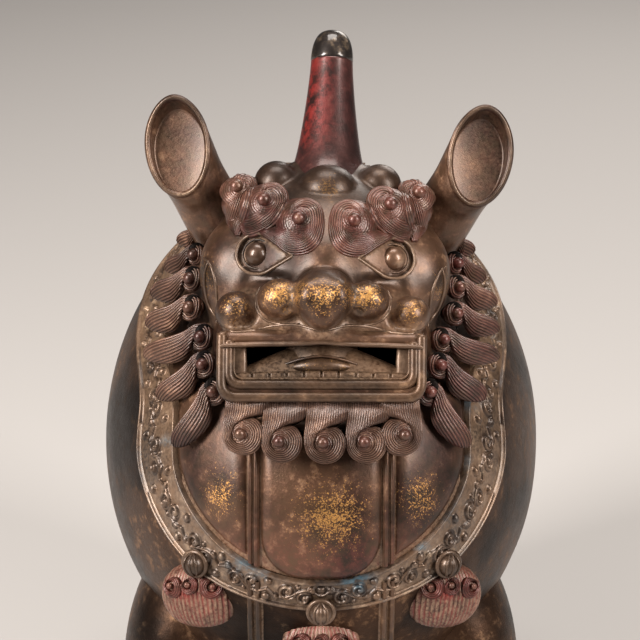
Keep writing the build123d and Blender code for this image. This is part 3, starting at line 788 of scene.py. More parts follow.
# %% [markdown]
# The skull is two ellipsoids, for the cranium and the jowls, with smaller forms joined to them for
# the temples, the muzzle, the bridge of the nose, the foot of the horn and three lumps on the
# forehead. The face adds the nose in five lumps, the cheeks, the nostrils and the eye sockets.

# %% Skull and face
neck_level = float(np.dot(face_axes @ neck_point, face_axes @ neck_normal))
neck_up = face_axes @ neck_normal
eye_place = np.array([24.7, 64.4])
CRANIUM = (0, 59, 62)
JOWLS = (0, 32, 80)


def tear_distance(u, v):
    """The distance from the eye socket's outline: a circle drawn out to a point by the nose."""
    x, y = -(u - eye_place[0]), v - eye_place[1]
    reach, radius = 12.2, 6.9
    slope = np.sqrt(1 - (radius / reach) ** 2)
    y_abs = np.abs(y + 0.07 * np.maximum(x, 0))
    cone = y_abs * slope + x * radius / reach - radius
    round_part = np.hypot(x, y_abs) - radius
    return np.where(x * slope > y_abs * radius / reach, cone, round_part)


def skull(p):
    """The head without its carved details, for places with u made positive."""
    form = join(ellipsoid_field(p, CRANIUM, (46, 42, 52)), ellipsoid_field(p, JOWLS, (41, 36, 46)), 8)
    form = join(form, ellipsoid_field(p, (33.0, 59.5, 85), (13, 18.0, 15)), 5)
    form = join(form, block_field(p, (0, 24.3, 105), (36.2, 12.5, 21.5), 4.0), 3)
    form = join(form, ellipsoid_field(p, (0, 60, 105), (11.5, 13, 12)), 6)
    form = join(form, ellipsoid_field(p, (0, 88.5, 74), (22.0, 15.0, 13.0)), 5)
    form = join(form, ellipsoid_field(p, (0, 88.6, 90.5), (11.2, 10.2, 10.0)), 1.2)
    return join(form, ball_field(p, (18.9, 92.0, 82.5), 8.3), 1.5)


def face_form(p):
    """The skull with nose, cheeks, sockets and nostrils."""
    form = skull(p)
    nose = ellipsoid_field(p, (0, 47.6, 127.5), (9.8, 9.8, 8.0))
    nose = join(nose, ball_field(p, (0, 41.8, 130.5), 4.2), 3.5)
    nose = join(nose, ellipsoid_field(p, (4.7, 48.4, 130.4), (5.2, 6.6, 6.2)), 2.0)
    nose = join(nose, ellipsoid_field(p, (0, 53.0, 121.5), (9.5, 6.0, 8.0)), 3.5)
    nose = join(nose, ellipsoid_field(p, (15.3, 47.6, 123.3), (8.0, 7.2, 7.6)), 3.2)
    form = join(form, nose, 3.2)
    form = join(form, ellipsoid_field(p, (31.0, 43.4, 112.5), (7.4, 7.2, 8.5)), 3.2)
    form = carve(form, ellipsoid_field(p, (26.0, 55.5, 115.0), (13, 3.0, 8.0)), 3.0)
    form = carve(form, ball_field(p, (12.6, 43.0, 129.6), 2.1), 0.7)
    socket = np.maximum(tear_distance(p[..., 0], p[..., 1]), -(form + 1.7))
    return np.maximum(form, -socket)


def egg_field(p, grow):
    """The egg's field, for places in the face frame."""
    turned_axes = p @ face_axes
    return ellipsoid_field(turned_axes, (0, 0, 0), EGG + grow)


def head_field(p):
    """The whole hollow casting, cut flat at the neck, with its mouth opened."""
    p = np.concatenate([np.abs(p[..., :1]), p[..., 1:]], -1)
    over_neck = p @ neck_up - neck_level
    rim_slab = np.maximum(egg_field(p, 0.0), over_neck - NECK_RIM)
    form = np.maximum(join(face_form(p), rim_slab, 2.0), -over_neck)
    hollow = join(ellipsoid_field(p, CRANIUM, (42.4, 38.4, 48.4)),
                  ellipsoid_field(p, JOWLS, (37.4, 32.4, 42.4)), 8)
    hollow = np.minimum(hollow, block_field(p, (0, 24.0, 101), (32.0, 11.0, 22.0), 4.0))
    hollow = np.maximum(hollow, NECK_RIM - over_neck)
    throat = np.maximum(egg_field(p, -EGG_WALL), over_neck - NECK_RIM - 0.5)
    mouth = block_field(p, (0, 24.6, 125.0), (33.2, 7.6, 8.0), 2.0)
    slot = np.maximum(mouth, 121.5 - p[..., 2])
    opening = np.maximum(block_field(p, (0, 26.2, 120.0), (29.5, 5.2, 12.0), 1.0), 112.0 - p[..., 2])
    return np.maximum(form, -np.minimum(np.minimum(hollow, throat), np.minimum(slot, opening)))


def field_slope(field, p, reach=0.25):
    """The field's gradient by central differences."""
    slope = np.empty_like(p)
    for k in range(3):
        shift = np.zeros(3)
        shift[k] = reach
        slope[..., k] = (field(p + shift) - field(p - shift)) / (2 * reach)
    return slope


# %% [markdown]
# A surface is drawn where a field is zero by the method of surface nets, on a grid of cubes one
# millimetre wide, and then pulled onto the true surface.

# %% From a field to a surface


def surface_net(field, low, high, pitch):
    """The surface where a field is zero. In each cell that it crosses lies one point, the mean of
    the crossings on the cell's edges. The cells round a crossed edge share a face of four points."""
    axes = [np.arange(low[k], high[k] + pitch, pitch) for k in range(3)]
    shape = tuple(len(axis) for axis in axes)
    values = np.empty(shape)
    for i, u in enumerate(axes[0]):
        v, w = np.meshgrid(axes[1], axes[2], indexing="ij")
        values[i] = field(np.stack([np.full_like(v, u), v, w], -1))
    inside = values < 0
    corners = [(i, j, k) for i in (0, 1) for j in (0, 1) for k in (0, 1)]
    cells = tuple(n - 1 for n in shape)

    def corner_view(array, corner):
        """The values at one corner of every cube."""
        return array[tuple(slice(c, c + n) for c, n in zip(corner, cells))]

    count = sum(corner_view(inside, corner).astype(int) for corner in corners)
    active = (count > 0) & (count < 8)
    number = np.full(cells, -1)
    number[active] = np.arange(active.sum())
    at = np.argwhere(active)
    corner_values = {corner: corner_view(values, corner)[active] for corner in corners}
    total, hits = np.zeros((len(at), 3)), np.zeros(len(at))
    for first in corners:
        for k in range(3):
            if first[k]:
                continue
            second = tuple(c + (n == k) for n, c in enumerate(first))
            a, b = corner_values[first], corner_values[second]
            crossed = (a < 0) != (b < 0)
            share = np.where(crossed, a / np.where(crossed, a - b, 1), 0)
            spot = np.array(first, float)[None] + share[:, None] * np.eye(3)[k]
            total += spot * crossed[:, None]
            hits += crossed
    points = (at + total / hits[:, None]) * pitch + np.array(low)
    faces = []
    for k in range(3):
        one, two = [n for n in range(3) if n != k]
        lower = [slice(0, n) for n in shape]
        upper = [slice(0, n) for n in shape]
        lower[k], upper[k] = slice(0, shape[k] - 1), slice(1, shape[k])
        for n in (one, two):
            lower[n] = upper[n] = slice(1, shape[n] - 1)
        start, end = inside[tuple(lower)], inside[tuple(upper)]
        spots = np.argwhere(start != end)
        grown = start[start != end]
        base = spots.copy()
        base[:, one] += 1
        base[:, two] += 1
        around = []
        for d_one, d_two in ((0, 0), (-1, 0), (-1, -1), (0, -1)):
            cell = base.copy()
            cell[:, one] += d_one
            cell[:, two] += d_two
            around.append(number[tuple(cell.T)])
        quad = np.stack(around, -1)
        quad[grown] = quad[grown][:, ::-1]
        faces.append(quad)
    faces = np.concatenate(faces)
    for _ in range(3):
        slope = field_slope(field, points)
        move = field(points)[:, None] * slope / np.maximum((slope**2).sum(-1, keepdims=True), 0.3)
        points -= np.clip(move, -0.6 * pitch, 0.6 * pitch)
    return points, faces


# %% [markdown]
# The head's points then get their finish. Dust lies where the field is still low a little way
# outside the surface, which is inside a fold. The crown is made darker towards the top, and a band
# of painted shade darkens the hollow between eyes and nose. The gilding is strongest on the lumps of
# the nose, the cheeks and the forehead.

# %% Head casting
head_points, head_faces = surface_net(head_field, (-54, -9, 6), (54, 112, 141), 1.0)
head_slope = unit(field_slope(head_field, head_points))
cavity = np.clip((2.6 - head_field(head_points + 2.6 * head_slope)) / 1.6, 0, 1)
gilt_spots = [((0, 49, 137), 7.5, 0.95), ((15.5, 49.5, 130), 7, 1.0), ((31.5, 45, 120), 6.5, 0.75),
              ((45, 56, 93), 7.5, 0.8), ((0, 88, 98), 6.5, 0.85), ((8, 50, 132), 7, 0.85),
              ((22, 49, 121), 5, 0.6)]
folded = np.column_stack([np.abs(head_points[:, 0]), head_points[:, 1:]])
head_gilt = np.zeros(len(head_points))
for spot, reach, strength in gilt_spots:
    near = np.linalg.norm(folded - spot, axis=1) / reach
    head_gilt = np.maximum(head_gilt, strength * np.exp(-(near**2)))
head_v, head_w = head_points[:, 1], head_points[:, 2]
# Darker towards the top of the crown, and a band of painted shade in the hollow under the eyes; both are
# stored as groove values below zero.
smoked = 0.75 * smooth_step(74, 86, head_v)
smoked = np.maximum(smoked, 0.7 * np.exp(-(((head_v - 57) / 3.5) ** 2)) * (head_w > 60))
head_values = (cavity * 0.55 * (smoked < 0.3) - smoked, head_gilt, cavity * 0 + 0.12)
free_piece("head_casting", from_face(head_points), head_faces, head_values, "head", "head bronze",
           ("head_shell",))
print("head casting", len(head_faces), "faces")


def on_head(u, v, lift=0.0, field=face_form, start=146.0):
    """The place on the face under (u, v), found by stepping along w by the field's own distance,
    and the outward normal there. Misses stop at a low w."""
    u, v = np.broadcast_arrays(np.asarray(u, float), np.asarray(v, float))
    w = np.full(u.shape, start)
    for _ in range(60):
        distance = field(np.stack([np.abs(u), v, w], -1))
        w = np.maximum(w - 0.85 * distance, 30.0)
    p = np.stack([np.abs(u), v, w], -1)
    normal = unit(field_slope(field, p, 0.5))
    normal[..., 0] *= np.where(u < 0, -1, 1)
    return np.stack([u, v, w], -1) + normal * np.asarray(lift)[..., None], normal

# %% [markdown]
# ## Eyes, lips and the ridge round the nose
# The eyeballs are domes set in sockets drawn out towards the nose, each ringed by a thin wire
# painted dark as the shade of the gap round it. Thin raised lines edge the sockets, the nose and the
# cheeks. They were laid on the wax as threads, so here each is a wire along a line on the face, half
# sunk in it.

# %% Face details


def thread_on_face(points, radius, count=90):
    """A wire through a few (u, v) places, each dropped onto the face, thinning at its ends."""
    flat = smooth_path(points, count)
    placed, normal = on_head(flat[:, 0], flat[:, 1])
    thin = np.sin(np.linspace(0.12, np.pi - 0.12, count)) ** 0.35
    return tube(placed, radius * thin, ups=normal)


def tear_outline(grow, count=120):
    """Points round the eye socket, found by walking out from its middle along each direction."""
    turn = np.linspace(0, 2 * np.pi, count, endpoint=False)
    way = np.column_stack([np.cos(turn), np.sin(turn)])
    reach = np.zeros(count)
    for _ in range(40):
        at = eye_place + reach[:, None] * way
        reach += 0.6 * (grow - tear_distance(at[:, 0], at[:, 1]))
    return eye_place + reach[:, None] * way


rim_path = tear_outline(0.55)
rim_placed, rim_normal = on_head(rim_path[:, 0], rim_path[:, 1], 0.0, field=skull)
threads = [
    tube(rim_placed, np.full(len(rim_placed), 0.62), ups=rim_normal, closed=True, groove=0.3),
    thread_on_face([(35.5, 38.2), (31, 35.9), (24, 36.6), (17, 38.4), (9, 38.6), (4, 37.4), (0.2, 36.4)],
                   0.55),
    thread_on_face([(22.8, 52.5), (24.2, 49), (23.6, 44.5), (20.3, 40.6), (14, 38.8), (8, 39.2)], 0.5),
    thread_on_face([(37.5, 40), (41.3, 46), (43.0, 51), (43.6, 57), (42.4, 62)], 0.75),
    thread_on_face([(38.5, 40), (38.6, 48), (39.4, 54), (41.5, 60), (44.0, 63)], 0.6),
]
piece("face_threads", both_sides(threads), "head", "worn wire")

EYE_BALL = 4.4
eye_axis = unit(np.array([0.30, 0.12, 1.0]))
eye_seat, _ = on_head(np.array(eye_place[0]), np.array(eye_place[1]))
turn = np.linspace(0.012, 1.62, 26)
eye_radius = np.append(EYE_BALL * np.sin(turn), [EYE_BALL * 0.9, 0.03])
eye_height = np.append(3.7 * np.cos(turn), [-2.2, -2.4])
eye = [turned(eye_seat - 0.25 * eye_axis, eye_axis, eye_radius, eye_height, columns=56)]
ring_turn = np.linspace(0, 2 * np.pi, 72, endpoint=False)[:, None]
eye_side = unit(np.cross(eye_axis, [0, 1, 0]))
eye_up = np.cross(eye_side, eye_axis)
ring_path = eye_seat + 5.25 * (np.cos(ring_turn) * eye_side + np.sin(ring_turn) * eye_up)
# A wire round the eyeball, painted dark as the shade in the gap there.
eye_gap_shade = tube(ring_path, np.full(72, 0.42), ups=eye_axis, closed=True, groove=-0.4)
for name, side in (("left", 1), ("right", -1)):
    piece(f"eyeball_{name}", on_side(eye, side), "head", "eye bronze",
          replaces=(f"eye_{name}",))
piece("eye_gap_shades", both_sides([eye_gap_shade]), "head", "head bronze")

# %% [markdown]
# ## The mouth
# The mouth is a wide frame with square corners: a sharp upper lip, two nested bands that run down
# the sides and under, a row of low teeth, a block of a fang at each end, a roof piece that comes
# down to the tongue, and two dark openings for the smoke.

# %% Mouth


def frame_path(half, top, bottom, corner, count=60):
    """Half of a U: down the side, round the lower corner, and in to the middle."""
    turn = np.linspace(0, np.pi / 2, 14)
    side = np.column_stack([np.full(12, half), np.linspace(top, bottom + corner, 12, endpoint=False)])
    bend = np.column_stack([half - corner + corner * np.cos(turn), bottom + corner - corner * np.sin(turn)])
    floor = np.column_stack([np.linspace(half - corner, 0, count)[1:], np.full(count - 1, bottom)])
    return np.vstack([side, bend, floor])


def whole_frame(path, front):
    """The U with its other half, at a given w for each point."""
    right = np.column_stack([path, np.full(len(path), front)])
    left = right[:-1][::-1] * [-1, 1, 1]
    return np.vstack([right, left])


def lip_band(path, across, up, groove):
    """A moulding carried round the frame, its up towards the viewer."""
    grid = sweep(path, np.broadcast_to([0, 0, 1.0], path.shape), across, up)
    return patch(grid, wrap_columns=True, caps=True, groove=groove)


bulge = np.linspace(0, 2 * np.pi, 18, endpoint=False)
lips = []
lip_frames = ((35.2, 35.5, 13.3, 5.0, 126.6, 1.75, 1.55, 0.12),
              (32.6, 33.0, 17.6, 4.2, 126.2, 1.75, 1.6, 0.12),
              (30.9, 32.0, 19.8, 3.2, 125.4, 0.5, 0.6, 0.4))
for half, top, bottom, corner, front, wide, tall, dirt in lip_frames:
    path = whole_frame(frame_path(half, top, bottom, corner), front)
    lips.append(lip_band(path, wide * np.cos(bulge), tall * np.sin(bulge), dirt))
lip_u = np.linspace(-35.6, 35.6, 140)
lip_v = 32.3 - 0.9 * (lip_u / 35) ** 2 + 0.5 * np.exp(-(lip_u / 5) ** 2)
lip_path = np.column_stack([lip_u, lip_v, np.full(140, 126.5)])
lip_across = np.array([0.0, -0.9, -1.2, -0.6, 0.8, 2.6, 4.6, 5.0, 3.0, 1.0])
lip_up = np.array([2.5, 2.2, 1.5, 0.7, -0.5, -1.2, -2.2, -4.0, -4.0, -1.0])
lips.append(lip_band(lip_path, -lip_across, lip_up, 0.1))
piece("lips", on_side(lips, 1), "head", "head bronze")
edge_wire = tube(lip_path + [0, -0.4, 2.3], np.full(140, 0.6), ups=(0, 0, 1.0))
piece("lip_edge", on_side([edge_wire], 1), "head", "worn wire")
print("lip bands", len(lips), "mouth half width", lip_frames[0][0], "mm")

teeth_u = np.linspace(-30.5, 30.5, 420)
nick = np.abs((teeth_u / 6.1 + 0.5) % 1 - 0.5) * 6.1
crown = 21.9 + 0.7 * np.cos(teeth_u / 31 * np.pi / 2) - 0.75 * np.exp(-((nick / 0.35) ** 2))
front_w = 125.1 - 0.8 * np.exp(-((nick / 0.4) ** 2))
tooth_section = ((18.0, 121.5), (18.0, front_w), (crown - 0.8, front_w), (crown - 0.15, front_w - 0.35),
                 (crown, front_w - 1.0), (crown - 0.3, front_w - 1.9), (19.5, 121.5))
tooth_grid = np.stack([np.stack(np.broadcast_arrays(teeth_u, v, w), -1) for v, w in tooth_section], 1)
teeth = patch(tooth_grid, wrap_columns=True, caps=True, groove=0.35)
piece("teeth", on_side([teeth], 1), "head", "head bronze")

# %% [markdown]
# Each fang is a stack of rounded squares. The roof piece, the tongue and the gum behind it are
# smooth grids whose widths and heights follow powers and sines across the mouth.

# %% Fangs, roof and tongue
lobe = np.linspace(0, 2 * np.pi, 40, endpoint=False)
square_u, square_w = [np.sign(wave) * np.abs(wave) ** 0.45 for wave in (np.cos(lobe), np.sin(lobe))]
fang_levels = ((19.5, 2.9, 2.5, 0), (22.5, 3.1, 2.7, 0), (26.5, 3.0, 2.6, 0.1), (30.0, 2.7, 2.5, 0.2),
               (31.2, 2.4, 2.2, 0.2))
fang_rows = []
for v, half_u, half_w, lean in fang_levels:
    ring = [29.4 - lean + half_u * square_u, v + 0 * lobe, 122.0 + half_w * square_w]
    fang_rows.append(np.column_stack(ring))
fang = patch(np.stack(fang_rows), wrap_columns=True, caps=True, groove=0.25)
piece("fang_blocks", both_sides([fang]), "head", "worn wire", replaces=("fangs",))

roof_u = np.linspace(-1, 1, 70)[None]
roof_s = np.linspace(0, 1, 40)[:, None]
roof_half = 12.8 - 1.5 * roof_s**0.8
roof_v = 31.6 - 3.9 * roof_s - 1.0 * np.abs(roof_u) ** 3
roof_w = 122.4 + 1.2 * roof_s - 5.5 * roof_u**2
roof_front = np.stack([roof_half * roof_u, roof_v + 0 * roof_u, roof_w + 0 * roof_s], -1)
roof_back = roof_front - [0, -0.8, 3.0]
tongue_u = np.linspace(-1, 1, 90)[:, None]
tongue_turn = np.linspace(0, 2 * np.pi, 44, endpoint=False)[None]
tongue_half = 1 - np.abs(tongue_u) ** 2.2
tongue_v = 24.5 + 3.1 * tongue_half * np.sin(tongue_turn) - 0.8 * tongue_u**2
tongue_w = 120.8 - 2.5 * tongue_u**2 + 3.6 * tongue_half**0.7 * np.cos(tongue_turn)
tongue_points = np.stack([13.6 * tongue_u + 0 * tongue_turn, tongue_v, tongue_w], -1)
tongue_rim_u = np.linspace(-13.0, 13.0, 80)
tongue_rim_v = 27.9 - 3.0 * (np.abs(tongue_rim_u) / 13) ** 1.6
tongue_rim = np.column_stack([tongue_rim_u, tongue_rim_v, 123.6 - 3.0 * (tongue_rim_u / 13) ** 2])
gum_u = np.linspace(-30, 30, 80)[:, None]
gum_turn = np.linspace(0, 2 * np.pi, 30, endpoint=False)[None]
gum_rise = np.interp(np.abs(gum_u), (0, 12.5, 27.5, 30), (9.8, 9.6, 3.2, 2.8))
gum_v = 21.0 + gum_rise * np.sin(gum_turn)
gum = np.stack([gum_u + 0 * gum_turn, gum_v, 117.5 + 4.2 * np.cos(gum_turn) + 0 * gum_u], -1)
inner_mouth = [patch(np.concatenate([roof_front, roof_back[::-1]]), wrap_rows=True, groove=0.3),
               patch(gum, wrap_columns=True, caps=True, groove=0.4),
               tube(tongue_rim, np.full(80, 0.5), ups=(0, 0, 1.0))]
piece("mouth_inside", on_side(inner_mouth, 1), "head", "head bronze")
tongue = patch(tongue_points, wrap_columns=True, caps=True, groove=0.1, gilt=0.35)
piece("tongue_leaf", on_side([tongue], 1), "head", "head bronze", replaces=("tongue",))

# %% [markdown]
# ## Combed hair
# Every curl on the beast is the same idea: a lock that runs in, coils round a small ball and is
# combed with fine parallel lines all the way. It is a grid between two rails, the outer and the
# inner edge of the lock, so the combing follows the coil by itself. Each grid is then laid on
# whatever carries it.

# %% One lock of hair
RIDGE_DUST = 0.14
# How dark the combed grooves are painted, as painted shade; the ridges keep a little pale dust.
COMB_SHADE = 1.1


def rail(points, count):
    """A Catmull-Rom curve through its points at equal steps of their number, so that two rails
    with as many points stay paired."""
    points = np.asarray(points, float)
    padded = np.vstack([2 * points[0] - points[1], points, 2 * points[-1] - points[-2]])
    place = np.linspace(0, len(points) - 1 - 1e-6, count)
    k = place.astype(int)
    t = (place - k)[:, None]
    a, b, c, d = (padded[k + n] for n in range(4))
    return 0.5 * (2 * b + (c - a) * t + (2 * a - 5 * b + 4 * c - d) * t**2 + (3 * b - a - 3 * c + d) * t**3)


def combed_lock(outer, inner, lay, rise, pitch=0.78, comb=0.34, skirt=2.5, sink=1.0, rows=110, columns=84,
                sink_from=0.72, red=0.5):
    """A lock between two rails. Its section is a flattened arch, lowered by a row of combed grooves
    at one pitch from the outer rail, and its end sinks to pass under its own root."""
    outer, inner = rail(outer, rows), rail(inner, rows)
    t = np.linspace(0, 1, columns)
    flat = outer[:, None] * (1 - t)[None, :, None] + inner[:, None] * t[None, :, None]
    width = np.linalg.norm(outer - inner, axis=1)[:, None]
    s = np.linspace(0, 1, rows)[:, None]
    arch = (1 - np.abs(2 * t - 1) ** 3.2)[None]
    full = smooth_step(0, 3.0, width)
    wave = np.abs(np.sin(np.pi * width * t / pitch)) ** 0.75
    height = rise * arch * full + comb * (wave - 1) - sink * smooth_step(sink_from, 1, s)
    # Pale dust on the ridges, painted shade in the combed grooves.
    groove = RIDGE_DUST - (1 - wave) ** 1.2 * COMB_SHADE
    place, normal = lay(flat)
    top = place + normal * height[..., None]
    under = place - normal * (skirt * np.sqrt(full) + 0 * t[None])[..., None]
    under = (0.98 * under + 0.02 * under.mean(1, keepdims=True))[:, ::-6]
    # The skirt under the lock is painted dark (-0.6) as the shade beneath it.
    dark = np.concatenate([groove, np.full(under.shape[:2], -0.6)], 1)
    return patch(np.concatenate([top, under], 1), groove=dark, red=red, wrap_columns=True, caps=True)


def curl_cap(lay, reach, hand, rise, pitch=0.8, arms=7, comb=0.3, skirt=3.0, rows=30, columns=150, red=0.5):
    """A round cushion of hair under a coil. Its grooves are spirals: their phase is the distance
    from the nub over the pitch, plus the angle times the number of arms."""
    share = np.linspace(0.03, 1, rows)[:, None]
    turn = np.linspace(0, 2 * np.pi, columns, endpoint=False)[None]
    wave = np.abs(np.sin(np.pi * share * reach / pitch + hand * arms * turn / 2)) ** 0.75
    height = rise * (1 - share**4) + comb * (wave - 1)
    low_share = np.array([1.0, 0.5, 0.03])[:, None]
    shares = np.concatenate([share, low_share])[..., None] * reach
    flat = shares * np.stack([np.cos(turn), np.sin(turn)], -1)
    place, normal = lay(flat)
    height = np.concatenate([height, np.full((3, columns), -skirt)])
    # As on a lock: dust on the ridges, painted shade in the grooves and on the skirt under the cushion.
    groove = np.concatenate([RIDGE_DUST - (1 - wave) ** 1.2 * COMB_SHADE, np.full((3, columns), -0.6)])
    return patch(place + normal * height[..., None], groove=groove, red=red, wrap_columns=True, caps=True)


def nub(lay, at, radius, height, **finish):
    """The ball in the middle of a coil, raised along the normal there."""
    place, normal = lay(np.array([[at]], float))
    return ball(place[0, 0] + normal[0, 0] * height, (radius, radius, radius), rows=18, columns=26, **finish)


# %% [markdown]
# ## Beard
# Five locks hang from the lip. They come down straight, sway to one side of their ball and coil
# under it. The fifth turns the other way.

# %% Beard
beard_outer = [(-5.4, 16.0), (-5.5, 11), (-5.9, 6.8), (-6.4, 2.8), (-6.2, -1.6), (-4.2, -5.4), (0.2, -7.4),
               (4.8, -6.4), (7.6, -3.0), (7.9, 1.4), (5.6, 5.0), (1.8, 5.2), (-1.2, 3.2)]
beard_inner = [(9.6, 16.0), (9.4, 11), (8.0, 7.4), (3.6, 5.8), (-0.4, 4.2), (-2.3, 0.6), (-1.6, -2.0),
               (0.4, -2.7), (2.4, -1.6), (2.6, 0.8), (1.2, 2.4), (-0.6, 2.3), (-1.9, 1.2)]
beard_nubs = [(-28.5, 0.4, 1), (-14.9, -2.2, 1), (0.4, -2.6, 1), (15.0, -2.4, 1), (29.3, 0.2, -1)]
BEARD_FRONT = 124.6
BEARD_TOP = 14.2


def beard_lay(u, v, hand):
    """The beard hangs in a shallow curve and bulges at each disc: a place drops back as it nears
    the ends and the lip, and with the squared distance from its disc's middle."""
    def lay(flat):
        x, y = flat[..., 0] * hand, flat[..., 1]
        at_u, at_v = u + x, v + y
        near_disc = 1 - smooth_step(3, 12, y)
        away = np.hypot(x - 0.8 * hand, y)
        bow = 0.0035 * at_u**2 + 1.6 * smooth_step(8, 15, y) + 0.022 * away**2 * near_disc
        place = np.stack([at_u, at_v, BEARD_FRONT - np.minimum(bow, 8.0)], -1)
        tilt = 0.03 * near_disc
        normal = unit(np.stack([0.007 * at_u + tilt * (x - 0.8 * hand), tilt * y, np.ones_like(x)], -1))
        return place, normal
    return lay


beard_locks = []
for u, v, hand in beard_nubs:
    lay = beard_lay(u, v, hand)
    rails = []
    for points in (beard_outer, beard_inner):
        points = np.array(points) * 1.04
        above = np.maximum(points[:, 1] - 6, 0)
        points[:, 1] += above * ((BEARD_TOP - v - 6) / 10.6 - 1)
        rails.append(points)
    beard_locks += [
        combed_lock(*rails, lay, rise=1.6, pitch=0.82, comb=0.42, skirt=6.0, sink=1.3, columns=80, rows=100,
                    red=0.1),
        curl_cap(lay, 5.8, hand, 0.9, pitch=0.8, arms=5, red=0.2),
        nub(lay, (0.1, 0), 2.1, 1.5, groove=0.0, red=0.35)]
piece("beard_locks", on_side(beard_locks, 1), "head", "hair bronze", replaces=("beard",))

# %% [markdown]
# ## Brow curls
# Three fat curls crowd over each eye. Each coils round its ball and trails off outwards, under
# the next one. They lie on rounded lumps of the brow, so their grid is dropped onto a field of
# the skull with those lumps.

# %% Brow
brow_lumps = [((8.6, 74.2, 101.6), 10.6), ((20.8, 80.6, 95.6), 9.8), ((31.6, 83.6, 85.2), 9.6)]


def brow_field(p):
    """The skull softly joined with the lumps that carry the curls."""
    form = skull(p)
    for place, radius in brow_lumps:
        form = join(form, ball_field(p, place, radius), 2.0)
    return form


def brow_lay(u, v, lower):
    """The beast's right brow: places are given from the nub, and dropped onto the brow."""
    def lay(flat):
        at_u, at_v = u + flat[..., 0], v + flat[..., 1]
        place, normal = on_head(at_u, at_v, 0.0, field=brow_field)
        place = place - np.array([0, 0, 1.0]) * lower
        normal = unit(normal + np.array([0, 0, 0.6]))
        return place, normal
    return lay


inner_curl = ([(-14.0, -5.0), (-8.4, -8.6), (-2.6, -12.2), (4.2, -11.6), (8.4, -7.2), (9.4, -0.8), (7.9, 5.0),
               (3.3, 7.5), (-1.4, 6.0), (-3.5, 2.2), (-2.9, -1.5), (-0.8, -3.2)],
              [(-13.8, -3.8), (-8.4, -2.4), (-4.2, -2.6), (-0.9, -4.0), (1.9, -3.4), (3.1, -0.6), (2.5, 2.2),
               (0.5, 3.2), (-1.4, 2.4), (-2.2, 0.7), (-1.7, -1.0), (-0.6, -1.9)])
middle_curl = ([(-8.6, -9.6), (-5.4, -12.4), (0.4, -10.9), (6.0, -6.8), (8.8, -1.4), (8.4, 3.4), (5.1, 6.2),
                (0.9, 6.0), (-2.1, 3.2), (-2.9, -0.4), (-1.4, -2.8)],
               [(-8.4, -8.4), (-5.6, -4.8), (-2.6, -3.8), (0.5, -3.5), (2.8, -1.8), (3.1, 0.6), (2.0, 2.6),
                (0.1, 3.1), (-1.5, 2.1), (-2.1, 0.4), (-1.2, -1.3)])
outer_curl = ([(2.6, -17.0), (4.8, -12.0), (6.6, -6.0), (7.6, -0.8), (7.2, 3.8), (4.6, 6.0), (1.0, 5.6),
               (-1.8, 3.4), (-2.4, -0.2), (-1.2, -2.4)],
              [(0.2, -17.0), (-3.4, -12.0), (-3.4, -6.8), (-1.2, -3.6), (1.9, -2.7), (2.9, -0.4), (2.1, 2.1),
               (0.1, 2.9), (-1.5, 1.7), (-1.7, 0.2)])
brow_curls = (((-9.9, 76.8), inner_curl, 0.0, 8.6), ((-22.8, 83.6), middle_curl, 0.2, 7.4),
              ((-33.2, 88.9), outer_curl, 0.6, 6.6))
brow_right = []
for (u, v), rails, lower, reach in brow_curls:
    lay = brow_lay(u, v, lower)
    rails = [np.array(points) * [1.0, 1.07] for points in rails]
    brow_right += [
        combed_lock(*rails, lay, rise=2.1, pitch=0.8, comb=0.42, skirt=3.5, sink=1.4, rows=100, columns=84,
                    red=0.42),
        curl_cap(lay, reach, -1, 1.3, red=0.42),
        nub(lay, (0.1, 0.1), 2.5, 1.5, groove=0.0, red=0.45)]
piece("brow_locks_right", on_side(brow_right, 1), "head", "hair bronze",
      replaces=("brow_curls_right",))
piece("brow_locks_left", on_side(brow_right, -1, 1.3), "head", "hair bronze",
      replaces=("brow_curls_left",))


def lump_balls(p):
    """The fields of the lumps that carry the curls, on both sides."""
    p = np.concatenate([np.abs(p[..., :1]), p[..., 1:]], -1)
    return np.minimum.reduce([ball_field(p, place, radius - 2.4) for place, radius in brow_lumps])


lump_points, lump_faces = surface_net(lump_balls, (-46, 58, 70), (46, 100, 116), 1.1)
# The lumps show between and under the curls and are darkened there (-0.3) as painted shade.
lump_values = [np.full(len(lump_points), value) for value in (-0.3, 0.0, 0.4)]
free_piece("brow_lumps", from_face(lump_points), lump_faces, lump_values, "head", "hair bronze")

# %% [markdown]
# ## Mane
# Seven flame-shaped locks stand out on each side of the face. Each has a ball at its root, a coil
# round it and a combed leaf that points away from the face. Here the grid is laid on a slightly
# rounded plane of its own, through the lock's root and tip.

# %% Mane
mane_roots = [((45.5, 74.5, 63), (54.5, 75.0, 58), 4.1), ((47.3, 65.6, 69), (59.3, 64.8, 62), 4.6),
              ((48.4, 56.3, 75.5), (64.0, 55.4, 68.5), 5.1), ((48.0, 45.8, 80.5), (65.2, 44.8, 74), 5.2),
              ((43.4, 35.3, 87.5), (65.8, 33.8, 80), 5.3), ((42.4, 25.4, 93.5), (61.3, 18.2, 89), 5.3),
              ((38.6, 15.2, 101), (56.2, -0.2, 99), 5.2)]
leaf_outer = [(1.0, -0.72), (0.985, -0.44), (0.93, -0.2), (0.82, 0.0), (0.64, 0.16), (0.46, 0.3),
              (0.28, 0.55), (0.1, 0.94), (-0.1, 0.86), (-0.21, 0.4), (-0.21, -0.2), (-0.12, -0.74),
              (0.05, -0.88), (0.18, -0.5), (0.19, -0.05)]
leaf_inner = [(1.0, -0.84), (0.985, -1.1), (0.93, -1.34), (0.82, -1.52), (0.66, -1.62), (0.5, -1.6),
              (0.34, -1.42), (0.18, -0.75), (0.1, 0.1), (0.0, 0.33), (-0.07, 0.12), (-0.06, -0.22),
              (0.02, -0.34), (0.08, -0.2), (0.08, 0.05)]


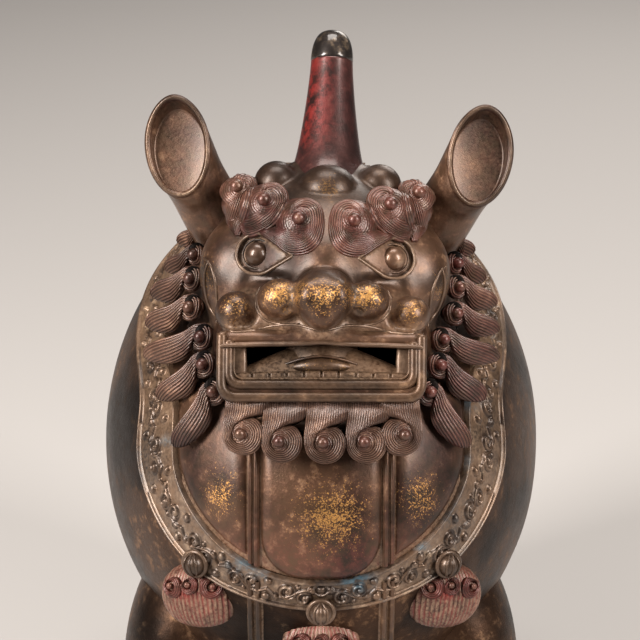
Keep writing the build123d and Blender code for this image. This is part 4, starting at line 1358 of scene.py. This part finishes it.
def leaf_rails(length, half):
    """The leaf's rails: near the coil measured by the half width, further out by the length."""
    rails = []
    for points in (leaf_outer, leaf_inner):
        points = np.array(points)
        blend = smooth_step(0.15, 0.5, points[:, 0])
        reach = half * 4.2 * (1 - blend) + length * blend
        rails.append(np.column_stack([points[:, 0] * reach, points[:, 1] * half]))
    return rails


def mane_lay(root, tip, half):
    """The plane through a lock's root and tip that faces forward. It bends down with the squared
    distance from the lock's middle line and from its coil."""
    root, tip = np.array(root, float), np.array(tip, float)
    along_leaf = unit(tip - root)
    out = unit(np.array([0.30, 0.0, 1.0]) - along_leaf * np.dot([0.30, 0.0, 1.0], along_leaf))
    side = np.cross(out, along_leaf)

    def lay(flat):
        x, y = flat[..., 0], flat[..., 1]
        bend = 0.05 * y**2 + 0.010 * np.maximum(x - half, 0) ** 2
        place = root + along_leaf * x[..., None] + side * y[..., None] + out * (2.2 - bend)[..., None]
        droop = 0.02 * np.maximum(x - half, 0)
        normal = unit(out + side * (0.1 * y)[..., None] + along_leaf * droop[..., None])
        return place, normal
    return lay


mane = []
hole_shades = []
for root, tip, half in mane_roots:
    length = float(np.linalg.norm(np.array(tip) - root))
    lay = mane_lay(root, tip, half)
    mane += [
        combed_lock(*leaf_rails(length, half * 0.98), lay, rise=2.0, pitch=1.02, comb=0.5, skirt=3.2,
                    sink=1.4, rows=96, columns=64, red=0.3),
        curl_cap(lay, half * 0.95, -1, 0.8, pitch=0.85, arms=5, columns=110, rows=24, red=0.3),
        nub(lay, (0.0, 0.0), 2.3, 1.6, groove=0.0, red=0.45)]
    # A flat near-black disc over each coil stands for the hollow beside the nub: painted shade.
    spot, spot_normal = lay(np.array([[(-0.26 * half, 0.26 * half)]]))
    hole_shades.append(ball(spot[0, 0] + spot_normal[0, 0] * 0.95, (3.1, 3.1, 0.8), rows=14, columns=30))
for name, side, red in (("left", 1, 1.6), ("right", -1, 0.6)):
    piece(f"mane_locks_{name}", on_side(mane, side, red), "head", "hair bronze",
          replaces=(f"mane_{name}",))
piece("mane_hole_shades", both_sides(hole_shades), "head", "painted hole shade")
print("mane locks on each side", len(mane_roots))

# %% [markdown]
# ## Ears and horn
# The ears are trumpets with a rolled rim. One grid makes both walls: the rows go up the outside,
# over the rim and down again inside. The horn is turned, with a slow swell towards its tip, and
# its last centimetre is black where no lacquer holds.

# %% Ears
ear_stations = [((36.0, 74.0, 60.0), 13.0, 13.0), ((42.5, 82.5, 65.0), 12.0, 12.4),
                ((48.4, 92.0, 71.0), 11.4, 12.9), ((52.6, 99.4, 77.6), 11.6, 15.9),
                ((55.7, 104.5, 83.4), 12.1, 18.9)]
EAR_LEAN = np.radians(6.6)
ear_normals = [(0.52, 0.62, 0.6), (0.5, 0.58, 0.64), (0.42, 0.45, 0.78), (0.25, 0.15, 0.95),
               (0.12, -0.1, 1.0)]


def ear_grid(shrink, shares, columns=96):
    """Rings between the stations: the middle, the two half axes and the facing all vary smoothly."""
    middles = np.array([station[0] for station in ear_stations], float)
    halves = np.array([station[1:] for station in ear_stations], float)
    normals = unit(np.array(ear_normals, float))
    fine = rail(np.hstack([middles, halves, normals]), 400)
    pick = (np.clip(shares, 0, 1) * 399).astype(int)
    rows = fine[pick]
    normal = unit(rows[:, 5:8])
    lean = np.array([np.cos(EAR_LEAN), -np.sin(EAR_LEAN), 0.0])
    first = unit(lean - normal * (normal @ lean)[:, None])
    second = np.cross(normal, first)
    turn = np.linspace(0, 2 * np.pi, columns, endpoint=False)
    pinch = 1 - 0.10 * np.clip(np.sin(turn), 0, 1) ** 3
    a = (rows[:, 3] - shrink)[:, None] * np.cos(turn) * pinch
    b = (rows[:, 4] - shrink)[:, None] * np.sin(turn)
    return rows[:, None, :3] + first[:, None] * a[..., None] + second[:, None] * b[..., None], normal


up_shares = np.linspace(0, 1, 46)
outside_wall, wall_normal = ear_grid(0.0, up_shares)
inside_wall, _ = ear_grid(1.9, np.linspace(1, 0.9, 16))
rim_turn = np.linspace(0.15, 0.95, 9)[:, None, None] * np.pi
rim_middle, rim_reach = (outside_wall[-1] + inside_wall[0]) / 2, (outside_wall[-1] - inside_wall[0]) / 2
rim_rows = rim_middle + rim_reach * np.cos(rim_turn) * 1.3 + wall_normal[-1] * 1.1 * np.sin(rim_turn)
dish_middle = inside_wall[-1].mean(0)
dish_share = np.linspace(0.94, 0.03, 18)[:, None, None]
dish_sink = wall_normal[-1] * 1.2 * (1 - dish_share**2)
dish = dish_middle + (inside_wall[-1] - dish_middle) * dish_share - dish_sink
ear_surface = np.concatenate([outside_wall, rim_rows, inside_wall, dish])
ear_groove = np.concatenate([np.full(46, 0.1), np.full(9, 0.0), np.full(34, 0.12)])[:, None]
ear = [patch(ear_surface, wrap_columns=True, caps=True, groove=ear_groove, red=0.15)]
for name, side in (("left", 1), ("right", -1)):
    piece(f"ear_trumpet_{name}", on_side(ear, side), "head", "head bronze",
          replaces=(f"ear_{name}",))
ear_wire = tube(rim_middle + wall_normal[-1] * 0.75, np.full(96, 0.72), ups=wall_normal[-1], closed=True)
piece("ear_wires", both_sides([ear_wire]), "head", "worn wire")

# %% Horn
horn_axis = np.array([0, np.cos(np.radians(9.0)), -np.sin(np.radians(9.0))])
horn_foot = np.array([0, 97.0, 73.2])
HORN_RED = 43.4
horn_heights = np.array([-4.0, 0.0, 3.0, 8.0, 16.0, 26.0, 36.0, 42.0, 47.0])
horn_radii = np.array([16.0, 14.2, 13.1, 11.9, 10.6, 9.3, 8.3, 7.9, 7.8])
fine_height = np.linspace(-4.0, 46.5, 120)
fine_radius = smooth_path(np.column_stack([horn_heights, horn_radii]), 600)
fine_radius = np.interp(fine_height, fine_radius[:, 0], fine_radius[:, 1])
horn_keep = fine_height <= HORN_RED
dome_turn = np.linspace(0, np.pi / 2 - 0.01, 22)
tip_height = HORN_RED + 0.2 + 11.5 * np.sin(dome_turn)
tip_radius = 7.95 * np.cos(dome_turn) ** 0.62
shaft = turned(horn_foot, horn_axis, np.append(fine_radius[horn_keep], 7.0),
               np.append(fine_height[horn_keep], HORN_RED + 0.15), columns=80)
shaft_u = shaft["points"][..., 0]
shaft_height = (shaft["points"] - horn_foot) @ horn_axis
shaft["values"][2] = np.clip(0.36 - 0.085 * shaft_u, 0.12, 1) * (0.1 + smooth_step(2, 18, shaft_height))
tip = turned(horn_foot, horn_axis, np.concatenate([[6.5, 7.6], tip_radius]),
             np.concatenate([[HORN_RED - 1, HORN_RED - 0.3], tip_height]), columns=80)
piece("horn_shaft", on_side([shaft], 1), "head", "horn lacquer", replaces=("horn",))
piece("horn_point", on_side([tip], 1), "head", "black tip")
print("horn length", round(float(tip_height[-1]), 1), "mm")

# %% [markdown]
# ## Bells and tassels
# Three round bells hang on the collar, each a ball held in a ring, with a tassel under it. A
# tassel is a bundle of cords: a dome whose radius rises and falls with the angle, many times
# round. Three small scrolls cap it like a cloud.

# %% Bells and tassels
bell_places = {"centre": (0.0, -62.4), "left": (44.8, -45.9), "right": (-44.4, -45.9)}
TASSEL_DROP = {"centre": 15.0, "left": 12.6, "right": 12.6}
TASSEL_RADII = (14.9, 12.4, 8.6)
CORD_PITCH = 1.66


def seat_axes(u, v, upright):
    """A place on the egg with its axes: across, up, and out. The out axis lies between the egg's
    normal and the way to the viewer."""
    place = egg_front(np.array(u), np.array(v))
    out = unit(egg_normal(place) * (1 - upright) + face_axes[2] * upright)
    up = unit(face_axes[1] - out * (face_axes[1] @ out))
    return place, np.stack([np.cross(up, out), up, out])


def tassel_grid(place, axes, rows=56, columns=380):
    """A dome, squarer than a ball at its lower end, with upright cords: ridges at one pitch across
    it, drawn together a little where the dome narrows."""
    latitude = np.linspace(0.02, np.pi - 0.02, rows)[:, None]
    longitude = np.linspace(0, 2 * np.pi, columns, endpoint=False)[None]
    down = -np.cos(latitude) + 0 * longitude
    size = np.abs(np.sin(latitude)) ** np.where(down < 0, 0.95, 0.74)
    spread = 14.3 * size**0.45 * np.cos(longitude)
    ridge = np.abs(np.cos(np.pi * spread / CORD_PITCH)) ** 0.8
    swell = 1 + 0.06 * (ridge - 0.6) * smooth_step(0.1, 0.5, size)
    x = TASSEL_RADII[0] * size * np.cos(longitude) * swell
    y = -TASSEL_RADII[1] * down
    z = TASSEL_RADII[2] * size * np.sin(longitude) * swell
    fresh = np.exp(-((x + 1.5) / 5) ** 2 - ((y - 3.5) / 2.6) ** 2)
    points = place + x[..., None] * axes[0] + y[..., None] * axes[1] + z[..., None] * axes[2]
    return patch(points, groove=0.8 * ridge * (1 - fresh), red=np.maximum(0.9 - 0.8 * ridge, fresh),
                 wrap_columns=True, caps=True)


# %% [markdown]
# One pass for each place makes a tassel with its three scrolls, and a bell: a ball in a ring, with
# three thin straps over it.

# %% The three bells with their tassels
for side, (u, v) in bell_places.items():
    place, axes = seat_axes(u, v, 0.35)
    low_place, low_axes = seat_axes(u, v - TASSEL_DROP[side], 0.5)
    tassel = [tassel_grid(low_place, low_axes)]
    for x, y, hand, scale in ((-8.4, 5.4, 1, 0.62), (8.4, 5.4, -1, 0.62), (-1.0, 6.4, 1, 0.5)):
        def cap_lay(flat, x=x, y=y, hand=hand, scale=scale, place=low_place, axes=low_axes):
            """Places of a small scroll on the tassel's dome, taken as half an ellipsoid."""
            at_x, at_y = x + flat[..., 0] * hand * scale, y + flat[..., 1] * scale
            inside = np.clip(1 - (at_x / 15.2) ** 2 - ((at_y - 0.5) / 14.0) ** 2, 0.02, 1)
            local = np.stack([at_x, at_y, 8.7 * np.sqrt(inside)], -1)
            normal = unit(local / np.array([200.0, 200.0, 70.0]))
            return place + local @ axes, normal @ axes
        tassel.append(combed_lock(beard_outer[4:], beard_inner[4:], cap_lay, rise=1.3, pitch=1.3, comb=0.3,
                                  skirt=2.0, sink=0.5, rows=60, columns=40, red=0.3))
        tassel.append(nub(cap_lay, (0.2, 0.0), 1.2, 0.9, groove=0.3, red=0.3))
    piece(f"tassel_cords_{side}", tassel, "body", "tassel lacquer",
          replaces=(f"tassel_{side}",))
    turn = np.linspace(0, 2 * np.pi, 60, endpoint=False)[:, None]
    middle = place + axes[2] * (COLLAR_LIFT + 1.3)
    ring_path = middle + 4.5 * (np.cos(turn) * axes[0] + np.sin(turn) * axes[1])
    bell = [tube(ring_path, np.full(60, 1.0), ups=axes[2], closed=True, groove=0.1),
            ball(middle + axes[2] * 0.4, (4.0, 4.0, 4.0), rows=30, columns=44, groove=-0.15)]
    half_turn = np.linspace(0, np.pi, 40)[:, None]
    for angle in np.radians((-38, 0, 38)):
        over = axes[2] * np.cos(angle) + axes[0] * np.sin(angle)
        strap_path = middle + axes[2] * 0.4 + 4.1 * (np.cos(half_turn) * axes[1] + np.sin(half_turn) * over)
        bell.append(tube(strap_path, np.full(40, 0.55), ups=axes[0]))
    piece(f"bell_ball_{side}", bell, "body", "worn wire", replaces=(f"bell_{side}",))

# %% [markdown]
# ## Finishes for the castings that stay
# Legs, tail, hinge, rivets and pan keep their CAD shapes and get the same bronze, since all of
# them are plain castings that the forms above don't change.

# %% Dressing the kept nodes
for node in ("leg_front_left", "leg_front_right", "leg_rear_left", "leg_rear_right", "leg_rivets",
             "tail_rivets"):
    dress(node, "old bronze")
for node in ("hinge_bracket", "hinge_strap", "bracket_rivets", "strap_rivets", "hinge_pin"):
    dress(node, "worn wire")
dress("tail", "hair bronze")
dress("ash_pan", "smoked copper")

# %% [markdown]
# ## Camera, light and floor
# The photo was taken with a long lens from the front and a little above, so the camera stands
# over a metre away on the line out of the face. The floor is plain and pale, and big soft lights
# left and right draw the long highlights that old bronze shows.

# %% Camera
CAMERA_AWAY = 1100.0
VIEW_RISE = 45.7
VIEW_ASIDE = -0.6
ROLL = np.radians(0.1)
camera_data = bpy.data.cameras.new("camera")
camera_data.sensor_width = 36.0
camera_data.lens = 155.9
camera_data.clip_end = 20.0
camera = bpy.data.objects.new("camera", camera_data)
bpy.context.scene.collection.objects.link(camera)
eye_point = from_face((0, 0, CAMERA_AWAY))
target = from_face((VIEW_ASIDE, VIEW_RISE, 0))
back = unit(eye_point - target)
right = unit(np.cross([0, 0, 1.0], back))
upward = np.cross(back, right)
rolled = right * np.cos(ROLL) + upward * np.sin(ROLL)
upward = upward * np.cos(ROLL) - right * np.sin(ROLL)
right = rolled
pose = Matrix.Identity(4)
for row in range(3):
    for column, axis in enumerate((right, upward, back)):
        pose[row][column] = float(axis[row])
    pose[row][3] = float(eye_point[row] * MM)
camera.matrix_world = pose
bpy.context.scene.camera = camera

# %% [markdown]
# The left panel is the stronger one, so the forms turn darker to the right, as in the photo. The
# values go to the picture unchanged, by the Standard view.

# %% Floor and lights
floor_mesh = bpy.data.meshes.new("floor")
floor_mesh.from_pydata([(-6, -6, 0), (6, -6, 0), (6, 6, 0), (-6, 6, 0)], [], [(0, 1, 2, 3)])
floor = bpy.data.objects.new("floor", floor_mesh)
bpy.context.scene.collection.objects.link(floor)
floor_material = bpy.data.materials.new("pale floor")
floor_material.use_nodes = True
floor_material.node_tree.nodes["Principled BSDF"].inputs["Base Color"].default_value = (0.45, 0.435, 0.425, 1)
floor_material.node_tree.nodes["Principled BSDF"].inputs["Roughness"].default_value = 0.9
floor_mesh.materials.append(floor_material)

world = bpy.data.worlds.new("plain light")
world.use_nodes = True
world.node_tree.nodes["Background"].inputs["Color"].default_value = (0.8, 0.75, 0.72, 1)
world.node_tree.nodes["Background"].inputs["Strength"].default_value = 0.11
bpy.context.scene.world = world


def soft_light(name, place, size, power, look_at=(0, -0.03, 0.18)):
    """A warm white panel at a place in metres, turned to the middle of the beast."""
    data = bpy.data.lights.new(name, "AREA")
    data.shape = "RECTANGLE"
    data.size, data.size_y = size
    data.energy = power
    data.color = (1.0, 0.94, 0.88)
    light = bpy.data.objects.new(name, data)
    light.location = place
    light.rotation_euler = (Vector(place) - Vector(look_at)).to_track_quat("Z", "Y").to_euler()
    bpy.context.scene.collection.objects.link(light)


soft_light("left box", (-0.95, -0.75, 0.85), (0.4, 0.8), 32.0)
soft_light("right box", (0.95, -0.75, 0.85), (0.4, 0.8), 20.0)
soft_light("top box", (0.0, 0.1, 1.4), (0.8, 0.5), 12.0)
soft_light("back box", (0.5, 1.2, 0.9), (0.7, 0.7), 7.0)
bpy.context.scene.view_settings.view_transform = "Standard"

# %% Sizes
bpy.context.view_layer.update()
print("triangles", sum(count for _, count in made))
for name, count in made:
    print(name, count)
